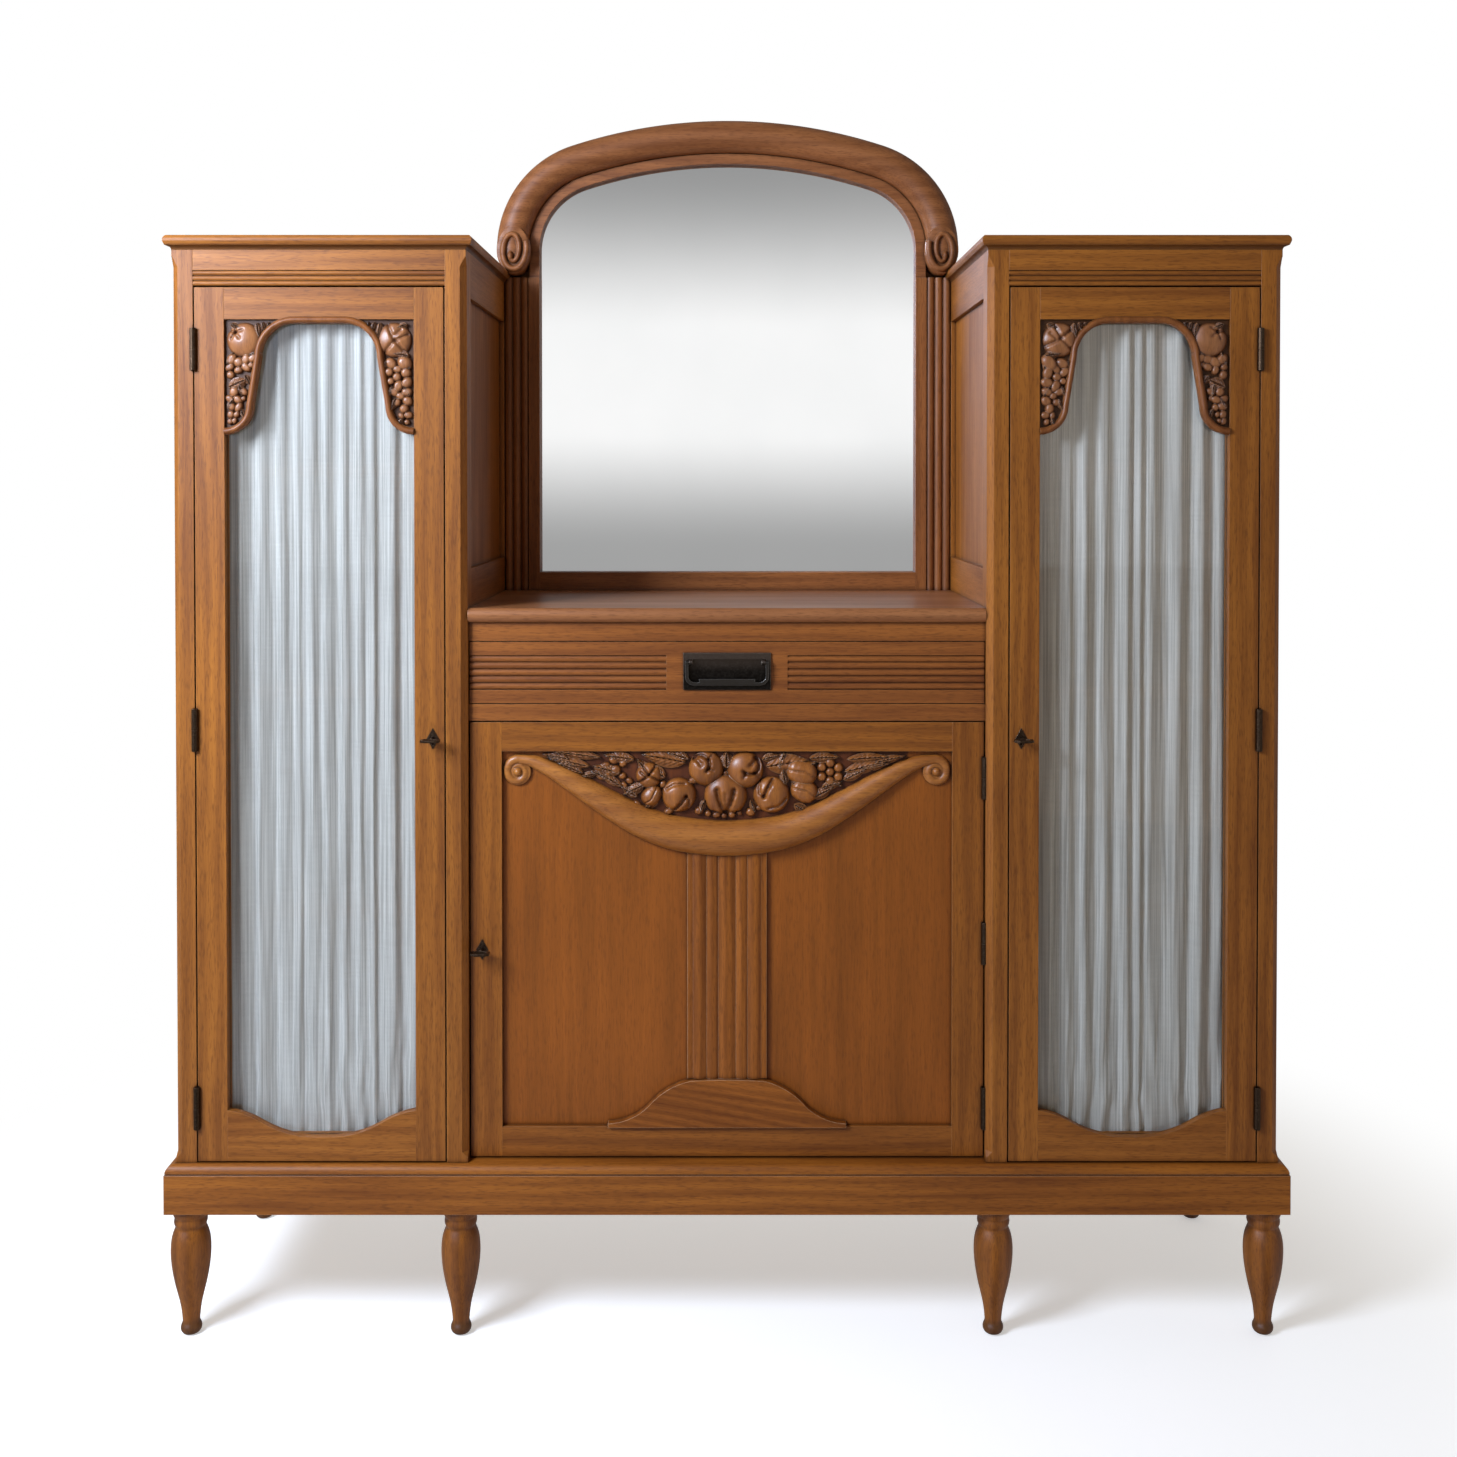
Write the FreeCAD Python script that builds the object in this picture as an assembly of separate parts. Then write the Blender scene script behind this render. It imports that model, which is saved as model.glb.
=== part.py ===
"""Sideboard with two glazed towers, a carved centre cupboard and an arched mirror.

Lengths are in millimetres. X runs along the front, Y from front to back, Z up.
The origin is on the floor, below the middle of the whole object. The shapes are drawn
with y = 0 at the towers' front faces and moved back to that origin when they are saved.
"""
import FreeCAD, Part
import math
import os

# Names and shares that have no length
LEFT = -1
RIGHT = 1
HALF_TURN = 180.0
RIGHT_ANGLE = 90.0
X_WAY = FreeCAD.Vector(1, 0, 0)
Y_WAY = FreeCAD.Vector(0, 1, 0)
Z_WAY = FreeCAD.Vector(0, 0, 1)
ORIGIN = FreeCAD.Vector(0, 0, 0)

# Sizes that all pieces share
overrun = 5.0
running_gap = 0.4
joint_gap = 2.0

# Whole object
tower_width = 417.0
tower_depth = 400.0
tower_height = 1301.0
niche_width = 740.0
centre_setback = 16.0

# Legs
leg_height = 183.0
leg_diameter = 56.5
leg_front_inset = 29.0
leg_side_inset = 29.0
leg_rear_inset = 34.0
mid_leg_offset = 13.0
leg_sides = 16
leg_profile_shares = [
    (0.372, 0.0),
    (0.540, 0.035),
    (0.530, 0.065),
    (0.425, 0.106),
    (0.500, 0.221),
    (0.756, 0.380),
    (0.925, 0.516),
    (1.0, 0.640),
    (0.975, 0.745),
    (0.761, 0.847),
    (0.814, 0.902),
    (0.885, 1.0),
]

# Plinth
plinth_height = 69.0
plinth_overhang = 13.5
plinth_member = 56.0
plinth_fascia_height = 55.5
quirk_height = 2.0
quirk_depth = 2.0
ovolo_ledge = 1.5
bearer_width = 54.0

# Tower frame
post_face = 30.0
post_depth = 41.0
rear_post_depth = 30.0
corner_chamfer = 8.5
chamfer_top_stop = 24.0
chamfer_foot_stop = 15.0
chamfer_runout = 14.0
side_rail_thickness = 24.0
side_top_rail = 64.0
side_foot_rail = 75.0
side_mid_rail = 75.3
panel_thickness = 9.0
panel_recess = 8.0
panel_tongue = 8.0
top_rail_height = 51.0
top_rail_thickness = 24.0
back_thickness = 8.0
back_rebate = 10.0
board_thickness = 16.0

# Reeds of the top rails
rail_reed_pitch = 7.4
rail_reed_count = 3
rail_reed_depth = 2.2

# Cornice
cornice_height = 20.0
cornice_overhang = 9.5
cornice_cove_height = 6.0
cornice_fillet = 2.0
cornice_nose_share = 0.55
cornice_top_setback = 3.5

# Shelves
shelf_count = 3
shelf_thickness = 18.0
shelf_front_setback = 50.0
cleat_width = 16.0
cleat_height = 20.0
cleat_front = 36.0

# Tower doors
door_thickness = 22.0
door_stile = 42.0
door_foot_rail = 73.0
door_foot_dip = 38.5
dip_shares = [((0.82, 0.16), (0.62, 0.50)), ((0.33, 0.90), (0.0, 1.0))]
arch_head_height = 208.0
arch_top_rail = 45.4
arch_glass_drop = 50.0
arch_shoulder_radius = 48.0
arch_shoulder_half = 83.0
arch_foot_radius = 40.0
bead_width = 9.0
spandrel_depth = 5.0
glass_thickness = 3.0
glass_rebate = 8.0
glass_rebate_depth = 10.0

# Spandrel fruit of the tower doors
# Each berry's place and radius are shares of the fruit's diameter: across, down, radius
fruit_diameter = 44.0
fruit_relief = 13.0
spandrel_fruit_inset = 27.0
spandrel_fruit_drop = 27.0
spandrel_berry_shares = [
    (0.00, 0.82, 0.24),
    (-0.12, 1.28, 0.21),
    (-0.18, 1.68, 0.18),
    (-0.26, 2.02, 0.15),
]
berry_relief_share = 0.4
fruit_sides = 10
berry_sides = 8
relief_ring_shares = [(1.0, 0.0), (0.86, 0.58), (0.48, 0.92)]

# Curtains
rod_radius = 2.5
rod_gap = 2.0
rod_stand_off = 3.0
curtain_thickness = 1.6
curtain_fold_count = 16
curtain_fold_depth = 5.0
curtain_heading = 12.0
curtain_wall = 1.5
curtain_side_cover = 9.0
curtain_end_cover = 6.0
rod_eye_half = 5.0
rod_eye_width = 4.0

# Hinges
hinge_height = 60.0
knuckle_radius = 4.5
bar_sides = 12
hinge_pin_radius = 2.0
hinge_running_gap = 0.05
hinge_leaf_thickness = 1.6
hinge_leaf_depth = 20.0
hinge_stand_off = 3.0
hinge_clearance = 0.5
leaf_gap_share = 0.15
tower_hinge_top_drop = 88.0
tower_hinge_foot_rise = 77.0
centre_hinge_top_drop = 80.0
centre_hinge_foot_rise = 71.0

# Locks and keys
lock_case_margin = 2.0
lock_case_height = 60.0
lock_case_depth = 12.0
lock_wall = 1.5
lock_bolt_travel = 8.0
lock_bolt_height = 14.0
lock_bolt_thickness = 5.0
lock_bolt_length = 22.0
key_inset = 16.5
key_shaft_radius = 2.6
key_bit_reach = 8.5
key_bit_thickness = 2.4
key_bit_length = 6.0
key_stand_off = 10.0
key_bow_width = 27.0
key_bow_depth = 19.0
key_bow_thickness = 3.2
key_bow_rim = 4.2
key_bow_flat_share = 0.5
keyhole_gap = 0.3
keyhole_slot = 3.4
plate_width = 17.0
plate_height = 30.0
plate_thickness = 1.0
tower_lock_rise = 607.0
centre_lock_rise = 301.0

# Centre section
counter_height = 771.7
counter_thickness = 20.3
counter_overhang = 10.0
counter_rounding = 6.0
upper_rail_height = 27.2
mid_rail_height = 24.0
drawer_opening_height = 90.5
centre_rail_thickness = 22.0
centre_shelf_rise = 370.0
centre_shelf_setback = 60.0
runner_width = 24.0
runner_height = 20.0

# Drawer
drawer_gap = 1.2
drawer_side_thickness = 12.0
drawer_side_height = 72.0
drawer_length = 330.0
drawer_bottom_thickness = 6.0
drawer_bottom_rise = 8.0
drawer_groove = 6.0
drawer_reed_count = 5
drawer_reed_pitch = 9.9
drawer_reed_depth = 2.6
drawer_reed_rise = 20.4
drawer_reed_end = 87.0

# Drawer pull
pull_width = 125.0
pull_height = 53.0
pull_rise = 20.6
pull_plate_thickness = 2.5
pull_dish_width = 112.0
pull_dish_height = 38.0
pull_dish_depth = 7.0
pull_dish_wall = 1.2
pull_dish_radius = 12.0
pull_dish_foot = 6.0
bail_thickness = 4.8
bail_arm_width = 4.8
bail_half_span = 60.0
bail_drop = 33.0
bail_bend = 14.0
bail_grip_height = 9.5
bail_grip_half = 40.0
bail_pin_radius = 1.6
bail_lug_radius = 4.2
bail_lug_width = 5.0
bail_lug_drop = 13.4
bail_clearance = 0.6

# Centre door
centre_stile = 45.0
centre_top_rail = 42.0
centre_foot_rail = 43.0
centre_panel_thickness = 10.0
centre_panel_recess = 8.0

# Reeded pilaster and its foot on the centre door
pilaster_band_half = 12.75
pilaster_inner_reed = 16.6
pilaster_outer_reed = 19.5
pilaster_fillet = 8.2
pilaster_relief = 9.0
pilaster_reed_depth = 3.0
pilaster_top_drop = 142.0
pilaster_foot_height = 69.0
pilaster_foot_half = 171.0
pilaster_foot_relief = 13.0
pilaster_foot_step = 6.0
foot_curve_shares = [
    ((-0.78, 0.16), (-0.66, 0.40)),
    ((-0.48, 0.80), (-0.30, 0.98)),
    ((0.0, 1.0), (0.30, 0.98)),
    ((0.48, 0.80), (0.66, 0.40)),
    ((0.78, 0.16), (1.0, 0.0)),
]

# Carved swag of the centre door
swag_half = 300.5
swag_relief = 13.0
swag_eye_relief = 17.0
swag_ball_relief = 20.0
swag_eye_drop = 30.0
swag_eye_radius = 19.8
swag_ball_radius = 9.0
swag_crown_drop = 126.0
swag_start_share = 0.790
swag_curve_shares = [
    ((0.412, 0.640), (0.705, 0.275)),
    ((0.852, 0.100), (1.0, 0.081)),
    ((1.04, 0.160), (1.0, 0.240)),
    ((0.955, 0.183), (0.792, 0.345)),
    ((0.516, 0.798), (0.0, 1.206)),
]
swag_fruit_radius = 31.0
swag_fruit_relief = 26.0
swag_fruit_shares = [
    (-0.06, 2.06, 1.00),
    (-2.22, 2.03, 0.81),
    (2.06, 2.03, 0.85),
    (-0.97, 0.86, 0.80),
    (0.84, 0.88, 0.83),
    (-3.52, 2.00, 0.45),
    (3.71, 1.87, 0.55),
    (-3.45, 0.90, 0.66),
    (3.15, 0.82, 0.62),
    (-4.84, 0.96, 0.56),
    (4.77, 0.97, 0.60),
]

# Mirror section
mirror_half = 311.5
mirror_thickness = 4.0
mirror_frame_thickness = 22.0
mirror_foot_rail = 30.0
mirror_rebate = 7.0
mirror_spring_rise = 55.0
mirror_haunch_radius = 110.0
mirror_crown_radius = 760.0
pilaster_rise = 9.0
pilaster_flat = 18.0
niche_reed_count = 3
niche_reed_depth = 4.0
arch_strip_width = 16.5
arch_strip_thickness = 20.0
arch_moulding_width = 54.5
arch_moulding_base = 18.0
arch_moulding_relief = 27.0
roll_flats = 6
arch_board_setback = 8.0

# Scrolls at the feet of the arch moulding
scroll_centre_inset = 30.5
scroll_rise = 32.0
scroll_half_width = 29.0
scroll_half_height = 42.0
scroll_relief = 7.0
scroll_end_radius = 20.0
scroll_groove_width = 4.0
scroll_groove_depth = 4.0
scroll_turn_shares = [0.62, 0.36, 0.10]

# Levels and faces worked out from the sizes above
plinth_top = leg_height + plinth_height
tower_top = plinth_top + tower_height
cornice_top = tower_top + cornice_height
inner_face = niche_width / 2
outer_face = inner_face + tower_width
tower_centre = (inner_face + outer_face) / 2
floor_top = plinth_top + board_thickness
counter_under = plinth_top + counter_height
counter_top_level = counter_under + counter_thickness
upper_rail_under = counter_under - upper_rail_height
mid_rail_top = upper_rail_under - drawer_opening_height
mid_rail_under = mid_rail_top - mid_rail_height
back_front = tower_depth - back_thickness
rear_post_front = tower_depth - rear_post_depth
post_inner = inner_face + post_face
post_outer = outer_face - post_face
top_rail_under = tower_top - top_rail_height
door_foot = plinth_top + joint_gap
door_top = top_rail_under - joint_gap
door_half = (post_outer - post_inner) / 2 - joint_gap
door_height = door_top - door_foot
glass_half = door_half - door_stile
centre_door_half = inner_face - joint_gap
centre_door_top = mid_rail_under - joint_gap
centre_back_face = centre_setback + door_thickness
lock_case_width = door_stile - glass_rebate - lock_case_margin
mirror_spring = tower_top + mirror_spring_rise
mirror_back = tower_depth - back_thickness
mirror_setback = mirror_back - mirror_frame_thickness
key_reach = plate_thickness + key_stand_off + key_bow_depth
middle_y = (tower_depth - key_reach) / 2


def vector(x, y, z):
    """A point in space."""
    return FreeCAD.Vector(x, y, z)


def block(low, high):
    """A box between two corners."""
    size = [b - a for a, b in zip(low, high)]
    return Part.makeBox(size[0], size[1], size[2], vector(*low))


def rod(start, way, radius, length):
    """A round bar from a point along a direction."""
    return Part.makeCylinder(radius, length, start, way)


def filed_bar(start, way, radius, length):
    """A slim round bar, drawn with many flat sides. It runs across or up."""
    corners = [vector(radius * math.cos(turn), radius * math.sin(turn), 0)
               for turn in even_turns(bar_sides)]
    bar = flat_face(corners).extrude(Z_WAY * length)
    if way == X_WAY:
        bar.rotate(ORIGIN, Y_WAY, RIGHT_ANGLE)
    bar.translate(start)
    return bar


def bar_room(start, way, radius, length):
    """Room in which a round bar of this radius can turn."""
    return filed_bar(start, way, radius / math.cos(math.pi / bar_sides), length)


def mirrored(shape):
    """The same piece on the other side of the middle plane."""
    return shape.mirror(ORIGIN, X_WAY)


def for_side(shape, side):
    """A piece drawn for the right-hand side, put on the side asked for."""
    if side == RIGHT:
        return shape
    return mirrored(shape)


def on_front(a, b):
    """A point of an outline seen from the front: across and up."""
    return vector(a, 0, b)


def on_side(a, b):
    """A point of an outline seen from the side: back and up."""
    return vector(0, a, b)


def on_plan(a, b):
    """A point of an outline seen from above: across and back."""
    return vector(a, b, 0)


def closed_wire(start, steps, place):
    """A closed wire of lines and arcs.

    A step is a point for a line, or a pair of points, one on the arc and its end.
    """
    edges = []
    here = start
    for step in steps:
        if isinstance(step[0], tuple):
            middle, end = step
            edges.append(Part.Arc(place(*here), place(*middle), place(*end)).toShape())
        else:
            end = step
            edges.append(Part.makeLine(place(*here), place(*end)))
        here = end
    if here != start:
        edges.append(Part.makeLine(place(*here), place(*start)))
    return Part.Wire(edges)


def slab(start, steps, place, way, low, high):
    """An outline pushed along a direction, from one level to another."""
    face = Part.Face(closed_wire(start, steps, place))
    face.translate(way * low)
    return face.extrude(way * (high - low))


def reed_steps(start, pitch, count, depth, crest):
    """Arcs for a row of reeds.

    Each reed rises from the groove at crest + depth to the crest, one pitch wide.
    """
    steps = []
    for reed in range(count):
        foot = start + reed * pitch
        steps.append(((crest, foot + pitch / 2), (crest + depth, foot + pitch)))
    return steps


def moulded_board(low, high, profile, height):
    """A board whose front and both ends carry one edge moulding.

    The profile gives the steps from the board's underside to its top, as pairs of
    overhang and height. The board is where the front and the end mouldings meet,
    so its front corners are mitred.
    """
    left, front = low
    right, back = high[0], high[1]
    base = high[2]
    side_steps = []
    for step in profile:
        side_steps.append(edge_step(step, lambda out, up: (front - out, base + up)))
    side_steps.append((back, base + height))
    side_steps.append((back, base))
    run = slab((front, base), side_steps, on_side, X_WAY, left - overrun - profile_reach(profile),
               right + overrun + profile_reach(profile))
    end_steps = []
    for step in profile:
        end_steps.append(edge_step(step, lambda out, up: (right + out, base + up)))
    end_steps.append(edge_end(profile[-1], lambda out, up: (left - out, base + up)))
    for here, step in zip(reversed(profile[:-1]), reversed(profile)):
        end_steps.append(edge_back(step, here, lambda out, up: (left - out, base + up)))
    end_steps.append(edge_back(profile[0], (0, 0), lambda out, up: (left - out, base + up)))
    ends = slab((right, base), end_steps, on_front, Y_WAY, front - overrun - profile_reach(profile),
                back + overrun)
    return run.common(ends)


def profile_reach(profile):
    """How far an edge moulding stands out."""
    points = [edge_end(step, lambda out, up: (out, up)) for step in profile]
    return max(point[0] for point in points)


def edge_end(step, place):
    """Where a step of an edge moulding ends."""
    point = step[1] if isinstance(step[0], tuple) else step
    return place(*point)


def edge_step(step, place):
    """A step of an edge moulding, taken upwards."""
    if isinstance(step[0], tuple):
        return (place(*step[0]), place(*step[1]))
    return place(*step)


def edge_back(step, goal, place):
    """A step of an edge moulding, taken downwards to where it began."""
    target = goal[1] if isinstance(goal[0], tuple) else goal
    if isinstance(step[0], tuple):
        return (place(*step[0]), place(*target))
    return place(*target)


def dome(centre, radius, relief, sides):
    """A low cut dome on a plane that faces the front, like a fruit in relief."""
    rings = []
    for width, rise in relief_ring_shares:
        rings.append([
            centre + vector(radius * width * math.cos(turn), -relief * rise,
                            radius * width * math.sin(turn))
            for turn in even_turns(sides)
        ])
    crown = centre - Y_WAY * relief
    faces = [flat_face(rings[0])] + ring_faces(rings)
    for here, following in neighbours(rings[-1]):
        faces.append(flat_face([here, following, crown]))
    return Part.Solid(Part.Shell(faces))


def even_turns(count):
    """Angles of evenly spaced corners."""
    return [2 * math.pi * corner / count for corner in range(count)]


def neighbours(ring):
    """The corners of a ring in pairs, all the way round."""
    return list(zip(ring, ring[1:] + ring[:1]))


def ring_faces(rings):
    """The flat faces between rings of corners that follow each other."""
    faces = []
    for low, high in zip(rings[:-1], rings[1:]):
        for foot, top in zip(neighbours(low), neighbours(high)):
            faces.append(flat_face([foot[0], foot[1], top[1], top[0]]))
    return faces


def flat_face(corners):
    """A flat face with straight sides."""
    return Part.Face(Part.makePolygon(corners + corners[:1]))


def save(name, shapes):
    """Write one node from one or more solids, moved to the object's own origin."""
    solids = []
    for shape in shapes:
        moved = shape.copy()
        moved.translate(vector(0, -middle_y, 0))
        solids.extend(moved.Solids)
    shape = solids[0] if len(solids) == 1 else Part.makeCompound(solids)
    if not shape.isValid():
        raise ValueError(name + " is not a valid shape")
    shape.exportStep(os.path.join("parts", name + ".step"))


# Base

def leg(x, y):
    """A turned leg, from its toe to the collar under the plinth."""
    rings = []
    for out, up in leg_profile_shares:
        radius = out * leg_diameter / 2
        rings.append([
            vector(x + radius * math.cos(turn), y + radius * math.sin(turn), up * leg_height)
            for turn in even_turns(leg_sides)
        ])
    faces = [flat_face(rings[0]), flat_face(rings[-1])]
    return Part.Solid(Part.Shell(faces + ring_faces(rings)))


def leg_places():
    """Centres of the front legs and of the rear legs."""
    outer = outer_face + plinth_overhang - leg_side_inset
    middle = inner_face + mid_leg_offset
    front = leg_front_inset - plinth_overhang
    rear = tower_depth - leg_rear_inset
    fronts = [(-outer, front), (-middle, front), (middle, front), (outer, front)]
    rears = [(-outer, rear), (outer, rear)]
    return fronts, rears


def plinth_profile():
    """Edge moulding of the plinth: fascia, quirk and ovolo."""
    ovolo_foot = plinth_fascia_height + quirk_height
    ovolo_out = plinth_overhang - quirk_depth / 2
    ovolo_rise = plinth_height - ovolo_foot
    bulge = math.sqrt(0.5)
    return [
        (plinth_overhang, 0),
        (plinth_overhang, plinth_fascia_height),
        (plinth_overhang - quirk_depth, plinth_fascia_height),
        (plinth_overhang - quirk_depth, ovolo_foot),
        (ovolo_out, ovolo_foot),
        (
            (
                ovolo_ledge + (ovolo_out - ovolo_ledge) * bulge,
                ovolo_foot + ovolo_rise * bulge,
            ),
            (ovolo_ledge, plinth_height),
        ),
    ]


def plinth_pieces():
    """The plinth's four members, mitred at the front, and its two bearers."""
    whole = moulded_board((-outer_face, 0), (outer_face, tower_depth, leg_height),
                          plinth_profile(), plinth_height)
    inner = outer_face + plinth_overhang - plinth_member
    front_back = plinth_member - plinth_overhang
    rear_front = tower_depth - plinth_member
    well = block((-inner, front_back, leg_height - overrun),
                 (inner, rear_front, plinth_top + overrun))
    ring = whole.cut(well)
    reach = outer_face + plinth_overhang
    miter = [
        (reach, -plinth_overhang),
        (inner, front_back),
        (-inner, front_back),
    ]
    front_zone = slab((-reach, -plinth_overhang), miter, on_plan, Z_WAY,
                      leg_height - overrun, plinth_top + overrun)
    front = ring.common(front_zone)
    rest = ring.cut(front_zone)
    rear_zone = block((-inner, rear_front, leg_height - overrun),
                      (inner, tower_depth + overrun, plinth_top + overrun))
    rear = rest.common(rear_zone)
    sides = rest.cut(rear_zone)
    bearers = []
    for side in (LEFT, RIGHT):
        start = inner_face - (bearer_width - post_face) / 2
        bearer = block((start, front_back, leg_height),
                       (start + bearer_width, rear_front, plinth_top))
        bearers.append(for_side(bearer, side))
    return front, [sides, rear] + bearers


# Tower frames

def chamfer_cut(corner_x, corner_y, inward):
    """The wood taken off a post's front corner, dying out at both stops."""
    foot = plinth_top + chamfer_foot_stop
    top = tower_top - chamfer_top_stop
    size = corner_chamfer

    def corner(z, share):
        spread = overrun * share
        return Part.makePolygon([
            vector(corner_x - inward * spread, corner_y - spread, z),
            vector(corner_x + inward * (size * share), corner_y - spread, z),
            vector(corner_x + inward * (size * share), corner_y, z),
            vector(corner_x, corner_y + size * share, z),
            vector(corner_x - inward * spread, corner_y + size * share, z),
            vector(corner_x - inward * spread, corner_y - spread, z),
        ])

    thin = joint_gap / (size + overrun)
    straight = Part.makeLoft([corner(foot, 1), corner(top, 1)], True, True)
    low = Part.makeLoft([corner(foot - chamfer_runout / 2, thin), corner(foot, 1)], True, True)
    high = Part.makeLoft([corner(top, 1), corner(top + chamfer_runout, thin)], True, True)
    return straight.fuse([low, high])


def side_panel_zones():
    """Heights of the side panels' openings, lower and upper."""
    rail_top = counter_under + side_mid_rail
    return [
        (plinth_top + side_foot_rail, counter_under),
        (rail_top, tower_top - side_top_rail),
    ]


def side_panels(face, inward):
    """Two panels of a side frame whose show face is at x = face."""
    panels = []
    start = face + inward * panel_recess
    end = start + inward * panel_thickness
    for low, high in side_panel_zones():
        panels.append(block(
            (min(start, end), post_depth - panel_tongue, low - panel_tongue),
            (max(start, end), rear_post_front + panel_tongue, high + panel_tongue),
        ))
    return panels


def side_rails(face, inward, panels):
    """Three rails of a side frame, grooved for its panels."""
    end = face + inward * side_rail_thickness
    zones = side_panel_zones()
    levels = [
        (plinth_top, zones[0][0]),
        (zones[0][1], zones[1][0]),
        (zones[1][1], tower_top),
    ]
    rails = []
    for low, high in levels:
        rail = block((min(face, end), post_depth, low), (max(face, end), rear_post_front, high))
        rails.append(rail.cut(panels))
    return rails


def hinge_axis(side_edge, gap_way, face_y):
    """Place of a hinge pin in plan, in the joint between door and post."""
    return (side_edge + gap_way * joint_gap / 2, face_y - hinge_stand_off)


def hinge_levels(foot, top, foot_rise, top_drop):
    """Middles of three hinges, the top and bottom ones set in, one halfway."""
    low = foot + foot_rise
    high = top - top_drop
    return [low, (low + high) / 2, high]


def hinge_set(axis, levels, post_way):
    """Lift-off hinges of one door: post leaves with pins, and door leaves on them.

    post_way is the X direction from the pin to the post. Returns the fixed solids,
    the moving solids and the room they need in the wood.
    """
    x, y = axis
    leaf_gap = joint_gap * leaf_gap_share
    near = leaf_gap + hinge_leaf_thickness
    post_x = x - near if post_way < 0 else x + leaf_gap
    door_x = x + leaf_gap if post_way < 0 else x - near
    clear_radius = knuckle_radius + hinge_clearance
    fixed = []
    moving = []
    room = []
    for middle in levels:
        foot = middle - hinge_height / 2
        top = foot + hinge_height
        leaf = block((0, 0, 0), (hinge_leaf_thickness, hinge_leaf_depth + hinge_stand_off,
                                 hinge_height))
        post_leaf = leaf.copy()
        door_leaf = leaf.copy()
        post_leaf.translate(vector(post_x, y, foot))
        door_leaf.translate(vector(door_x, y, foot))
        barrel_length = hinge_height / 2 - running_gap
        lower = filed_bar(vector(x, y, foot), Z_WAY, knuckle_radius, barrel_length)
        upper = filed_bar(vector(x, y, middle), Z_WAY, knuckle_radius, hinge_height / 2)
        pin_top = top - knuckle_radius
        pin = filed_bar(vector(x, y, middle - running_gap), Z_WAY, hinge_pin_radius,
                        pin_top - middle + running_gap)
        bore = bar_room(vector(x, y, middle - overrun), Z_WAY,
                        hinge_pin_radius + hinge_running_gap,
                        pin_top - middle + overrun + running_gap)
        clear_low = bar_room(vector(x, y, foot - running_gap), Z_WAY, clear_radius,
                             middle - foot + running_gap)
        clear_high = bar_room(vector(x, y, middle - running_gap), Z_WAY, clear_radius,
                              top - middle + 2 * running_gap)
        fixed.append(post_leaf.cut(clear_high).fuse([lower, pin]).removeSplitter())
        moving.append(door_leaf.cut(clear_low).fuse(upper).removeSplitter().cut(bore))
        room.append(bar_room(vector(x, y, foot - running_gap), Z_WAY, clear_radius,
                             hinge_height + 2 * running_gap))
        room.append(post_leaf)
        room.append(door_leaf)
    return fixed, moving, room


def tower_hinges():
    """Hinges of the right-hand tower door."""
    axis = hinge_axis(post_outer, -1, 0)
    levels = hinge_levels(door_foot, door_top, tower_hinge_foot_rise, tower_hinge_top_drop)
    return hinge_set(axis, levels, 1)


def centre_hinges():
    """Hinges of the centre door, on its right-hand edge."""
    axis = hinge_axis(inner_face, -1, centre_setback)
    levels = hinge_levels(door_foot, centre_door_top, centre_hinge_foot_rise,
                          centre_hinge_top_drop)
    return hinge_set(axis, levels, 1)


def lock_pieces(edge, way, face, level):
    """Case, key, bolt and plate of a lock.

    edge is the door's free edge, way points from it into the stile, face is the
    y of the door's front and level the height of the key.
    """
    back = face + door_thickness
    front = back - lock_case_depth

    def across(first, second):
        ends = (edge + way * first, edge + way * second)
        return min(ends), max(ends)

    low_x, high_x = across(0, lock_case_width)
    case_foot = level - lock_case_height / 2
    case_top = level + lock_case_height / 2
    case_zone = block((low_x, front, case_foot), (high_x, back, case_top))
    hollow_low, hollow_high = across(lock_wall, lock_case_width - lock_wall)
    hollow = block((hollow_low, front - overrun, case_foot + lock_wall),
                   (hollow_high, back - lock_wall, case_top - lock_wall))
    bolt_foot = level + key_bit_reach + key_shaft_radius
    bolt_front = front + (lock_case_depth - lock_wall - lock_bolt_thickness) / 2
    bolt_low, bolt_high = across(0, lock_bolt_length)
    bolt = block((bolt_low, bolt_front, bolt_foot),
                 (bolt_high, bolt_front + lock_bolt_thickness, bolt_foot + lock_bolt_height))
    window_low, window_high = across(-overrun, lock_wall + overrun)
    window = block(
        (window_low, bolt_front - running_gap, bolt_foot - running_gap),
        (window_high, bolt_front + lock_bolt_thickness + running_gap,
         bolt_foot + lock_bolt_height + running_gap),
    )
    mortise_low, mortise_high = across(-joint_gap - lock_bolt_travel, overrun - joint_gap)
    mortise = block(
        (mortise_low, bolt_front - running_gap, bolt_foot - running_gap),
        (mortise_high, bolt_front + lock_bolt_thickness + running_gap,
         bolt_foot + lock_bolt_height + running_gap),
    )
    case = case_zone.cut([hollow, window])

    key_x = edge + way * key_inset
    shaft_end = back - lock_wall - running_gap
    plate = plate_blank(key_x, face, level)
    hole = keyhole(key_x, level, key_shaft_radius + keyhole_gap, face - plate_thickness - overrun,
                   front + overrun)
    plate = plate.cut(hole)
    key = key_shape(key_x, face, level, shaft_end, way)
    return {"case": case, "zone": case_zone, "bolt": bolt, "mortise": mortise,
            "plate": plate, "hole": hole, "key": key}


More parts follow.
